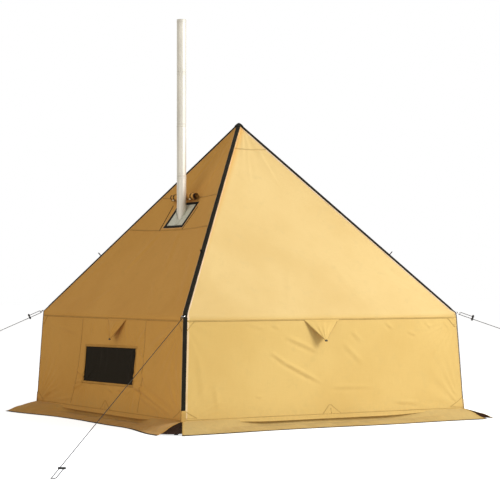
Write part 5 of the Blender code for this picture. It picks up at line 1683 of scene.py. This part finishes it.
def make_jack():
    """The heat-proof panel round the pipe, its black edge, and the tape for its cover."""
    out = SIDES["window"]
    middle = (JACK_ACROSS, (jack_middle() - PEAK).dot(down_roof(out)))
    halves = (JACK_WIDTH / 2 - 0.001, JACK_LENGTH / 2 - 0.001)
    pipe_across, pipe_out = PIPE_FOOT.dot(along(out)), PIPE_FOOT.dot(out)
    hole = PIPE_RADIUS + 0.0035
    spread = down_roof(out).dot(out)

    def hole_place(turn, reach=hole):
        across = pipe_across + reach * math.cos(turn)
        target = pipe_out + reach * math.sin(turn)
        drop = (target - PEAK.dot(out)) / spread
        for _ in range(4):
            drop += (target - on_roof("window", across, drop).dot(out)) / spread
        return across, drop

    def edge_place(turn):
        ways = (math.cos(turn), math.sin(turn))
        reach = min(
            (centre + math.copysign(half, way) - hole) / way
            for centre, half, hole, way in zip(middle, halves, hole_middle, ways) if abs(way) > 1e-9
        )
        return [hole + way * reach for hole, way in zip(hole_middle, ways)]

    hole_middle = (pipe_across, (hole_place(math.pi / 2)[1] + hole_place(-math.pi / 2)[1]) / 2)
    corners = sorted(
        math.atan2(middle[1] + v * halves[1] - hole_middle[1], middle[0] + u * halves[0] - hole_middle[0])
        for u in (-1, 1) for v in (-1, 1)
    )
    turns = []
    for index, corner in enumerate(corners):
        after = corners[(index + 1) % 4] + (math.tau if index == 3 else 0)
        turns += [corner + (after - corner) * step / 20 for step in range(20)]
    turns.append(corners[0] + math.tau)
    flat_places = {}

    def shape(across, down):
        turn = turns[round((across + 1) / 2 * 80)]
        inner, outer = hole_place(turn), edge_place(turn)
        place = [low + (high - low) * down for low, high in zip(inner, outer)]
        near = 1 - ease(down, 0.0, 0.45)
        point = on_roof("window", *place, -0.0004 + 0.004 * near)
        flat_places[tuple(round(part, 5) for part in point)] = place
        return point
    bm = bmesh.new()
    faces = lay(bm, 80, 18, shape, (1, 1), roof_normal(out))
    layer = bm.loops.layers.uv.verify()
    for face in faces:
        for loop in face.loops:
            loop[layer].uv = flat_places[tuple(round(part, 5) for part in loop.vert.co)]
    bmesh.ops.remove_doubles(bm, verts=bm.verts, dist=1e-5)
    panel = show("jack_panel", bm, GLASS_CLOTH, stands_for=["stove_jack"], sharp=70, thick=0.0016)
    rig.sheet(panel, flat=(0.334, 0.266), area=0.083, held="stretched", rests_on=["roof"])

    def collar_place(across, down):
        turn = math.pi / 2 - math.pi * across
        facing = math.degrees(math.pi * across)
        crest, step = math.exp(-((facing + 38) / 46) ** 2), math.exp(-((facing - 95) / 30) ** 2)
        tall = (0.004 + 0.088 * crest + 0.016 * step) * (0.82 + 0.18 * abs(math.cos(3.5 * math.pi * across)))
        reach = 0.0600 - 0.0178 * ease(down, 0.0, 0.4)
        foot = on_roof("window", *hole_place(turn, reach), 0.0034)
        return foot + UP * (tall * ease(down, 0.35, 1.0))
    bm = bmesh.new()
    lay(bm, 84, 14, collar_place, (0.30, 0.12), UP)
    bmesh.ops.remove_doubles(bm, verts=bm.verts, dist=1e-5)
    show("jack_collar", bm, GLASS_CLOTH, sharp=70, thick=0.0014)

    wide, tall = JACK_WIDTH / 2 - 0.014, JACK_LENGTH / 2 - 0.009
    strips = [((x, -tall - 0.012), (x, tall + 0.012), JACK_EDGE_WIDTH, 0.0016) for x in (-wide, wide)]
    strips += [((-wide - 0.017, y), (wide + 0.017, y), JACK_END_WIDTH, 0.0026) for y in (-tall, tall)]
    roof_strips("jack_edge", WEBBING, middle, strips, stands_for=["jack_border"], thick=0.0012)
    wide, tall = JACK_WIDTH / 2 + 0.011, JACK_LENGTH / 2 + 0.009
    strips = [((x, -tall), (x, tall + 0.004), JACK_FACING_WIDTH, 0.0011) for x in (-wide, wide)]
    strips.append(((-wide, tall), (wide, tall), JACK_FACING_WIDTH, 0.0011))
    roof_strips("jack_facing", EDGE_STRIP, middle, strips, thick=0.0008)
    roof_strips("jack_hook_tape", HOOK_TAPE, (0, middle[1]), (
        ((-0.243, -0.110), (-0.192, 0.165), 0.011, 0.0012), ((0.221, -0.080), (0.203, 0.160), 0.009, 0.0012),
    ), thick=0.0009)


COVER_TIES = (-0.70, 0.24, 0.70)
COVER_RADIUS = 0.0296
COVER_TURNS = 3.6
COVER_CLOTH = 0.42
COVER_BINDING_WIDTH = 0.017
COVER_TIE_WIDTH = 0.012


def make_cover_roll():
    """The jack's cover, rolled up above it and held by two ties."""
    low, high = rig.box("jack_cover_roll")
    centre = (Vector(low) + Vector(high)) / 2 + Vector((0, 0.012, 0.008))
    span = high[1] - low[1] + 0.020

    def ring_place(place, width, spin):
        return centre + Vector((math.cos(spin) * width, place, math.sin(spin) * width))

    def shape(across, down):
        spin = math.radians(-120) + math.tau * COVER_TURNS * down
        width = COVER_RADIUS - (COVER_RADIUS - 0.006) * down
        squeeze = 1.0 - sum(0.10 * math.exp(-((across - tie) / 0.06) ** 2) for tie in COVER_TIES)
        wave = 0.0009 * math.sin(9 * across + 3 * spin / math.tau) + 0.0007 * math.sin(23 * across + spin)
        cone = 0.001 * (1 - down) * across ** 8
        end = span / 2 * (1 - 0.018 * math.sin(3 * spin) ** 2 - 0.03 * down)
        return ring_place(across * end, width * squeeze - 0.0016 + wave - cone, spin)

    outward = SIDES["window"]
    roll = laid(
        "rolled_cover", CANVAS, 90, 150, shape, (span, COVER_CLOTH), outward,
        stands_for=["jack_cover_roll"], sharp=70, thick=0.0016,
    )
    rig.sheet(roll, flat=(0.42, 0.40), held="folded", rests_on=["roof"])
    binding, ties, toggles = (bmesh.new() for _ in range(3))
    for end in (-1, 1):
        def at(t, s):
            place = shape(end * (0.965 + 0.042 * s), t)
            return place + Vector((place.x - centre.x, 0, place.z - centre.z)).normalized() * 0.0005
        tape(binding, at, COVER_CLOTH, COVER_BINDING_WIDTH, 150, 3, outward)
    for tie in COVER_TIES:
        def around(t, s):
            middle = tie * span / 2 + s * COVER_TIE_WIDTH / 2
            return ring_place(middle, COVER_RADIUS * 0.92 + 0.0008, math.tau * t)
        tape(ties, around, math.tau * COVER_RADIUS, COVER_TIE_WIDTH, 48, 3, outward)
        seat = ring_place(tie * span / 2, COVER_RADIUS + 0.0070, math.radians(222))
        turned(toggles, toggle_profile(0.015, 0.0062), seat, (0.15, 0.98, 0.1), 16)
    show("cover_binding", binding, HOOK_TAPE, sharp=70, thick=0.0024)
    show("cover_ties", ties, HOOK_TAPE, thick=0.0012)
    show("cover_toggles", toggles, TOGGLE_WOOD)


def toggle_profile(half, radius):
    """A barrel toggle's outline, with a waist for its cord."""
    return [
        (0.0012, -half), (radius * 0.8, -half * 0.95), (radius, -half * 0.5), (radius * 0.8, 0.0),
        (radius, half * 0.5), (radius * 0.8, half * 0.95), (0.0012, half),
    ]


# Tie-out flaps

FLAP_WIDTH = 0.330
FLAP_LENGTH = 0.180
FLAP_STAND = math.radians(23)
# The share of a flap that bends at its seam
FLAP_ROOT = 0.075
FLAP_ACROSS = {"front": -0.05, "window": 0.170, "back": 0.0}


def make_flaps():
    """The triangular tie-out flaps under the eaves, each with its loop and toggle."""
    for side, middle in FLAP_ACROSS.items():
        out = SIDES[side]
        hinge = SEAM_HEIGHT - 0.005
        top = out * (wall_reach(hinge) + 0.0003) + along(out) * middle + UP * hinge
        down_way = out * math.sin(FLAP_STAND) - UP * math.cos(FLAP_STAND)
        face = out * math.cos(FLAP_STAND) + UP * math.sin(FLAP_STAND)

        def shape(across, down):
            half = FLAP_WIDTH / 2 * (1 - down) + 0.006 * down
            crown = 0.012 * math.sin(math.pi * min(down * 1.02, 1.0)) * (1 - abs(across) ** 1.4)
            curl = 0.004 * across ** 2 * math.sin(math.pi * down)
            ripple = 0.0016 * math.sin(15 * across + 4 * down) * down * (1 - down) * 4
            lift = 0.0024 + crown - curl + ripple
            return top + along(out) * (across * half) + down_way * (down * FLAP_LENGTH) + face * lift
        body = f"flap_{side}"
        flap = laid(
            f"flap_cloth_{side}", CANVAS, 40, 26, lambda a, d: shape(a, FLAP_ROOT + (1 - FLAP_ROOT) * d),
            (FLAP_WIDTH, FLAP_LENGTH), face,
            body=body, stands_for=[f"tie_out_{body}"], sharp=70, thick=0.0018,
        )
        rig.sheet(flap, flat=(0.33, 0.18), area=0.0325, held="stretched", rests_on=[f"cloth_wall_{side}"])
        root = laid(
            f"flap_root_{side}", CANVAS, 40, 8, lambda a, d: shape(a, (FLAP_ROOT + 0.004) * d),
            (FLAP_WIDTH, 0.014), face, body=None, sharp=80, thick=0.0018,
        )
        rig.blend(root, "tent", body, start=top, end=top + down_way * (FLAP_ROOT * FLAP_LENGTH))
        bm = bmesh.new()
        for sign in (-1, 1):
            def at(t, s):
                down = FLAP_ROOT + (1 - FLAP_ROOT) * t
                edge = shape(sign, down)
                inward = shape(sign * 0.90, down) if down < 0.9 else shape(0.0, down)
                return edge + (inward - edge).normalized() * (0.0045 + 0.0045 * s) + face * 0.0007
            tape(bm, at, 0.24, 0.009, 40, 2, face)
        show(f"flap_hem_{side}", bm, SEAM, body=body, thick=0.0006)
        tip = top + down_way * FLAP_LENGTH + face * 0.00125
        bm = bmesh.new()
        turned(bm, toggle_profile(0.0118, 0.0058), tip, along(out), 20)
        show(f"toggle_{side}", bm, SLIDER_PLASTIC, body=body)
        cord = loop_of(tip - down_way * 0.004, down_way * 0.0085, face * 0.0062, 20)
        piped(f"toggle_cord_{side}", ROPE, cord, 0.0013, 8, body, cyclic=True)


# Door on the hidden side

FOLD_HEIGHT = 0.84975
ZIP_WIDTH = 0.026
ZIP_MIDDLE = DOOR_HALF + 0.014
ZIP_FLAP_WIDTH = 0.040
ZIP_SLIDER_HEIGHT = 0.135
DOOR_HEM_WIDTH = 0.026
FOLD_WIDTH = 0.024


def on_door_side(across, fall, lift):
    """A point of the door side's cloth: fall runs down the roof, round the eave and down the wall."""
    side = "door"
    run = roof_run(side)
    if fall <= run:
        return on_roof(side, across, fall, lift)
    height = EAVE_HEIGHT - (fall - run)
    out = SIDES[side]
    if height > SEAM_HEIGHT:
        return out * (wall_reach(height) + lift) + along(out) * across + UP * height
    return on_wall(side, across, height, lift)


def door_fall(height):
    """How far down the door side a height lies."""
    if height >= EAVE_HEIGHT:
        return roof_drop("door", height)
    return roof_run("door") + EAVE_HEIGHT - height


def make_door():
    """The fabric door: its roof part, its wall part, and the cloth that folds between them."""
    out = SIDES["door"]
    half = DOOR_HALF - 0.001
    bend_rise = EAVE_DIP * 0.9
    top, fold, foot = DOOR_TOP - 0.0015, FOLD_HEIGHT, HEM_HEIGHT + 0.003

    def upper(across, down):
        start = door_fall(top)
        finish = door_fall(SEAM_HEIGHT)
        fall = start + (finish - start) * down
        wave = 0.0012 * math.sin(8 * across + 3 * fall) * math.sin(math.pi * down)
        share = across * half / EAVE_HALF
        bend = bend_rise * (1 - share * share)
        point = on_door_side(across * half, fall, wave)
        if fall > roof_run("door") - bend:
            depth = (fall - roof_run("door") + bend) / (finish - roof_run("door") + bend)
            point = over_eave("door", share, min(max(depth, 0.0), 1.0), wave)
        return point

    def lower(across, down):
        height = fold - 0.0025 + (foot - fold + 0.0025) * down
        wave = 0.0016 * math.sin(7 * across + 5 * height) * math.sin(math.pi * down)
        return on_wall("door", across * half, height, wave)
    for name, shape, body, length, node in (
        ("door_roof_panel", upper, "door_top_half", 1.16, "door_upper"),
        ("door_wall_panel", lower, "door_bottom_half", 0.755, "door_lower"),
    ):
        panel = laid(
            name, CANVAS, 66, 90, shape, (2 * half, length), out + UP,
            body=body, stands_for=[node], **SHEET,
        )
        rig.sheet(panel, flat=(0.80, length), held="hung", rests_on=["roof"])
        bm = bmesh.new()
        for edge in (-1, 1):
            def hem_at(t, s):
                return shape(edge * (0.963 + 0.033 * s), t) + (out + UP * 0.6) * 0.0011
            tape(bm, hem_at, length, DOOR_HEM_WIDTH, 80, 3, out + UP)
        show(f"{name}_hems", bm, SEAM, body=body, thick=0.0008)

    for name, height, first, second in (
        ("door_top_fold", DOOR_TOP, "tent", "door_top_half"),
        ("door_eave_fold", FOLD_HEIGHT, "door_top_half", "door_bottom_half"),
    ):
        start, finish = door_fall(height + 0.011), door_fall(height - 0.011)

        def fold_at(t, s):
            fall = start + (finish - start) * (s + 1) / 2
            pucker = 0.0006 * math.sin(230 * t)
            return on_door_side((2 * t - 1) * (half - 0.004), fall, 0.0024 + pucker)
        fold = sewn(
            name, SEAM, fold_at, 2 * half, FOLD_WIDTH, 90, 6, out + UP,
            body=None, sharp=80, thick=0.0008,
        )
        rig.blend(fold, first, second, start=on_door_side(0, start, 0), end=on_door_side(0, finish, 0))


def make_zips():
    """The zips beside the doorway, with their teeth and sliders."""
    out = SIDES["door"]
    start, finish = door_fall(DOOR_TOP - 0.010), door_fall(HEM_HEIGHT + 0.012)
    length = finish - start
    for name, edge in (("left", -1), ("right", 1)):
        middle = edge * ZIP_MIDDLE

        def tape_at(t, s):
            return on_door_side(middle + s * ZIP_WIDTH / 2 * edge, start + length * t, 0.0012)

        def flap_at(t, s):
            lift = 0.0016 + 0.0065 * (1 - s) / 2 + 0.0008 * math.sin(60 * t + edge)
            across = edge * (DOOR_HALF + 0.050 + ZIP_FLAP_WIDTH / 2 * s)
            return on_door_side(across, start + length * t, lift)
        how = {"outward": out + UP, "sharp": 80}
        sewn(f"zip_tape_{name}", BINDING, tape_at, length, ZIP_WIDTH, 150, 3, thick=0.0009, **how)
        teeth = [on_door_side(middle, start + length * step / 150, 0.0019) for step in range(151)]
        piped(
            f"zip_teeth_{name}", LASHING, teeth, 0.0016, 8,
            slot="plastic", stretch=1.5, flat_way=along(out),
        )
        sewn(f"zip_flap_{name}", SEAM, flap_at, length, ZIP_FLAP_WIDTH, 150, 5, thick=0.0012, **how)
        make_zip_slider(name, edge)


def make_zip_slider(name, edge):
    """A zip's slider: two plates with a bridge, an arch and the ring of its pull."""
    out = SIDES["door"]
    side_way, normal = along(out), wall_normal(out)
    up_wall = (UP - normal * UP.dot(normal)).normalized()
    seat = on_wall("door", edge * ZIP_MIDDLE, ZIP_SLIDER_HEIGHT, 0.0003)
    directions = (side_way, normal, up_wall)
    bm = bmesh.new()
    # Out from the wall and up it, the sizes, and the rounding of the edges
    for off, up, sizes, cut, segments in (
        (0.0022, 0, (0.0115, 0.0026, 0.026), 0.0011, 3), (0.0056, 0, (0.0105, 0.0024, 0.024), 0.0010, 3),
        (0.0040, 0.0105, (0.0045, 0.0040, 0.0040), 0.0008, 2),
    ):
        block(bm, seat + normal * off + up_wall * up, directions, sizes, cut, segments)
    tube(bm, arc(seat + normal * 0.0062, up_wall * 0.008, normal * 0.0036, 8), 0.0011, 8)
    top, tip = seat + normal * 0.0092 + up_wall * 0.002, seat + normal * 0.0088 - up_wall * 0.021
    pull = loop_of(top.lerp(tip, 0.5), up_wall * ((top - tip).length / 2), side_way * 0.0031, 24)
    tube(bm, pull, 0.0009, 6, cyclic=True)
    block(bm, tip + up_wall * 0.0070, directions, (0.0050, 0.0016, 0.0100), 0.0006)
    show(f"zip_pull_{name}", bm, RING_STEEL, body=f"zip_{name}", stands_for=[f"zip_slider_{name}"])


# Stove pipe, stove and poles

def make_pipe():
    """The pipe's sections: each has rolled beads, a seam down its back and a drawn-in lower end."""
    seam_way = Vector((0.55, 0.83, 0)).normalized()
    outer, inner = PIPE_RADIUS, PIPE_RADIUS - PIPE_WALL
    for number in range(1, 7):
        node = f"pipe_section_{number}"
        low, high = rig.box(node)
        shoulder, top = low.z + 0.035, high.z
        profile = [
            (outer - 0.0042, shoulder - 0.034), (outer - 0.0020, shoulder - 0.033),
            (outer - 0.0018, shoulder - 0.004), (outer - 0.0004, shoulder + 0.0006),
            (outer, shoulder + 0.003),
        ]
        for centre, rise in ((shoulder + 0.016, -0.00096), (top - 0.020, 0.0016)):
            for step in range(7):
                turn = math.pi * step / 6
                profile.append((outer - 0.0002 + rise * math.sin(turn), centre - 0.004 * math.cos(turn)))
        profile += [
            (outer, top - 0.002), (outer + 0.0004, top - 0.0006), (outer - 0.0006, top),
            (inner, top - 0.0012), (inner, shoulder + 0.004),
            (inner - 0.0020, shoulder - 0.004), (outer - 0.0046, shoulder - 0.034),
        ]
        bm = bmesh.new()
        turned(bm, profile, PIPE_FOOT, UP, 96)
        centre = PIPE_FOOT + UP * ((shoulder + top) / 2) + seam_way * (outer - 0.0002)
        sizes = (0.0065, 0.0016, top - shoulder - 0.060)
        block(bm, centre, (UP.cross(seam_way), seam_way, UP), sizes, 0.0005)
        show(f"pipe_tube_{number}", bm, PIPE_STEEL, stands_for=[node], sharp=35)


def refine(node, finish, width, segments=3):
    """A copy of a hard piece with its loose triangles merged and its edges rounded."""
    source = frame["nodes"][node]
    bm = bmesh.new()
    bm.from_mesh(source.data)
    bmesh.ops.remove_doubles(bm, verts=bm.verts, dist=1e-5)
    bmesh.ops.dissolve_limit(bm, angle_limit=math.radians(1.5), verts=bm.verts, edges=bm.edges)
    piece = show(f"{node}_finished", bm, finish, body=source["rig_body"], stands_for=[node], sharp=30)
    return soften(piece, width, segments)


RIVET_DOME = ((0.0, 0.0021), (0.0016, 0.0019), (0.0030, 0.0011), (0.0036, 0.0))


def make_stove():
    """The stove: plates with rounded edges, rivets, and a handle on the latch."""
    for node, width in {"body": 0.0012, "legs": 0.0020, "door": 0.0008}.items():
        refine(f"stove_{node}", STOVE_STEEL, width)
    refine("stove_vent", PIPE_STEEL, 0.0004)
    refine("pipe_damper", STOVE_STEEL, 0.0004, 2)
    refine("stove_latch", STOVE_STEEL, 0.0016)
    low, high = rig.box("stove_body")
    bm = bmesh.new()
    for x in (low.x + 0.018, high.x - 0.018):
        for height in (0.290, 0.360, 0.430, 0.500, 0.580):
            turned(bm, RIVET_DOME, (x, low.y, height), (0, -1, 0), 12)
            turned(bm, RIVET_DOME, (x, high.y, height), (0, 1, 0), 12)
    show("stove_rivets", bm, STOVE_STEEL)
    low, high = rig.box("stove_latch")
    grip = Vector((high.x + 0.001, (low.y + high.y) / 2, low.z + 0.010))
    turns, long_way = 8, Vector((0.028, 0, 0))
    coil = arc(grip, Vector((0, 0.0055, 0)), UP * 0.0055, 12 * turns, math.tau * turns, long_way)
    piped("latch_spring_grip", RING_STEEL, coil, 0.0012, 6, "firebox_latch")


POLE_LOWER_RADIUS = 0.016
POLE_UPPER_RADIUS = 0.0125
CORNER_POLE_RADIUS = 0.0078


def make_poles():
    """The centre pole with its joint and push button, its foot, and the four corner poles."""
    foot = Vector((PEAK.x, PEAK.y, 0))
    profile = [(0.0, 0.0), (0.022, 0.0), (0.024, 0.002), (0.0232, 0.012)]
    for low in (0.014, 0.020, 0.026, 0.032):
        rib = ((0.0228, 0), (0.0214, 0.0015), (0.0214, 0.003), (0.0226, 0.0045))
        profile += [(radius, low + height) for radius, height in rib]
    profile += [(0.0205, 0.0395), (0.0163, 0.040), (0.0163, 0.012), (0.0, 0.012)]
    bm = bmesh.new()
    turned(bm, profile, foot, UP, 40)
    show("pole_boot", bm, RUBBER, stands_for=["pole_foot"], sharp=35)

    low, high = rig.box("pole_lower")
    outer, top = POLE_LOWER_RADIUS, high.z
    bm = bmesh.new()
    turned(bm, [
        (0.0, low.z), (outer - 0.001, low.z), (outer, low.z + 0.001), (outer, top - 0.030),
        (outer - 0.0004, top - 0.029), (outer - 0.0004, top - 0.004), (outer, top - 0.002),
        (outer - 0.0010, top), (0.0131, top), (0.0131, top - 0.109), (0.0, top - 0.110),
    ], foot, UP, 48)
    button = foot + Vector((outer - 0.0003, 0, top - 0.050))
    turned(bm, [(0.0, 0.0022), (0.0024, 0.0017), (0.0034, 0.0)], button, (1, 0, 0), 16)
    show("pole_lower_tube", bm, ALUMINIUM, stands_for=["pole_lower"], sharp=35)

    low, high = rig.box("pole_upper")
    outer, top = POLE_UPPER_RADIUS, high.z
    bm = bmesh.new()
    turned(bm, [
        (0.0, low.z), (outer - 0.001, low.z), (outer, low.z + 0.001), (outer, top - 0.004),
        (outer - 0.003, top - 0.0006), (0.0, top),
    ], foot, UP, 48)
    show("pole_upper_tube", bm, ALUMINIUM, stands_for=["pole_upper"], sharp=35)

    for corner in CORNERS:
        node = f"corner_pole_{corner}"
        low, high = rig.box(node)
        outer, top = CORNER_POLE_RADIUS, high.z
        bm = bmesh.new()
        turned(bm, [
            (0.0, 0.0), (outer - 0.002, 0.0), (outer, 0.003), (outer, top - 0.030),
            (outer - 0.0012, top - 0.028), (outer - 0.0012, top - 0.004), (outer - 0.003, top - 0.001),
            (0.0, top),
        ], ((low.x + high.x) / 2, (low.y + high.y) / 2, 0), UP, 24)
        show(f"{node}_tube", bm, ALUMINIUM, stands_for=[node], sharp=35)


# Build

make_roof()
make_walls()
make_skirts()
make_roof_seams()
make_eave_seams()
make_straps()
make_peak_cap()
make_patches()
make_window()
make_jack()
make_cover_roll()
make_flaps()
make_door()
make_zips()
make_pipe()
make_stove()
make_poles()
for corner in PEG_PLACES:
    make_rope(corner)


# Camera, lights and floor

CAMERA_PLACE = (-7.696, -12.994, 1.167)
CAMERA_TURN = -30.81
FOCAL_LENGTH = 125.7
FILM_WIDTH = 36
FILM_SHIFT = (0.002, 0.0596)
WHITE = (1, 1, 1)
WORLD_COLOUR = (1.0, 0.93, 0.82)
WORLD_STRENGTH = 0.40
FLOOR_COLOUR = (0.77, 0.81, 0.90)
FLOOR_LIFT = 0.71
FLOOR_HALF = 60
FLOOR_DROP = -0.001
LAMP_TARGET = Vector((0, 0, 1.0))
# Place, size, watts and colour
LAMPS = {
    "key": ((5.5, -9.0, 6.5), 5.0, 1180, (0.98, 0.99, 1.0)),
    "fill": ((-9.5, -3.0, 4.0), 6.0, 130, (1.0, 0.93, 0.80)),
}


def stand(thing, place=(0, 0, 0), turn=(0, 0, 0)):
    """Puts a new object into the scene."""
    bpy.context.scene.collection.objects.link(thing)
    thing.location, thing.rotation_euler = place, turn
    return thing


def make_camera():
    data = bpy.data.cameras.new("camera")
    data.lens, data.sensor_width, data.clip_end = FOCAL_LENGTH, FILM_WIDTH, 200
    data.shift_x, data.shift_y = FILM_SHIFT
    turn = (math.radians(90), 0, math.radians(CAMERA_TURN))
    bpy.context.scene.camera = stand(bpy.data.objects.new("camera", data), CAMERA_PLACE, turn)


def make_lamp(name, place, size, watts, colour):
    data = bpy.data.lights.new(name, "AREA")
    data.shape, data.size, data.energy, data.color = "SQUARE", size, watts, colour
    turn = (LAMP_TARGET - Vector(place)).to_track_quat("-Z", "Y").to_euler()
    stand(bpy.data.objects.new(name, data), place, turn)


def make_world():
    """White to the camera and to metal, plain soft light to everything else."""
    world = bpy.data.worlds.new("studio")
    bpy.context.scene.world = world
    world.use_nodes = True
    tree = world.node_tree
    tree.nodes.clear()
    path = tree.nodes.new("ShaderNodeLightPath").outputs
    seen = sum_up(tree, "MAXIMUM", path["Is Camera Ray"], path["Is Transmission Ray"])
    seen = sum_up(tree, "MAXIMUM", seen, path["Is Glossy Ray"])
    soft = add(tree, "Background", WORLD_COLOUR, WORLD_STRENGTH).outputs[0]
    white = add(tree, "Background", WHITE, 1.0).outputs[0]
    add(tree, "OutputWorld", add(tree, "MixShader", seen, soft, white).outputs[0])


def make_floor():
    """A pale floor that is white where it is lit and keeps the tent's shadow."""
    bm = bmesh.new()
    bmesh.ops.create_grid(bm, x_segments=4, y_segments=4, size=FLOOR_HALF)
    mesh = bpy.data.meshes.new("floor")
    bm.to_mesh(mesh)
    bm.free()
    made = bpy.data.materials.new("pale_floor")
    made.use_nodes = True
    tree = made.node_tree
    tree.nodes.clear()
    seen = tree.nodes.new("ShaderNodeLightPath").outputs["Is Camera Ray"]
    base = add(tree, "BsdfDiffuse", FLOOR_COLOUR).outputs[0]
    glow = add(tree, "Emission", WHITE, sum_up(tree, "MULTIPLY", seen, FLOOR_LIFT)).outputs[0]
    add(tree, "OutputMaterial", add(tree, "AddShader", base, glow).outputs[0])
    mesh.materials.append(made)
    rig.stage(stand(bpy.data.objects.new("floor", mesh), (0, 0, FLOOR_DROP)))


make_camera()
make_world()
make_floor()
for name, (place, size, watts, colour) in LAMPS.items():
    make_lamp(name, place, size, watts, colour)
bpy.context.scene.view_settings.view_transform = "Standard"

visual_box = [list(corner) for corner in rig.bounds()]
json.dump({"cad": cad_box, "visual": visual_box}, open("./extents.json", "w"))
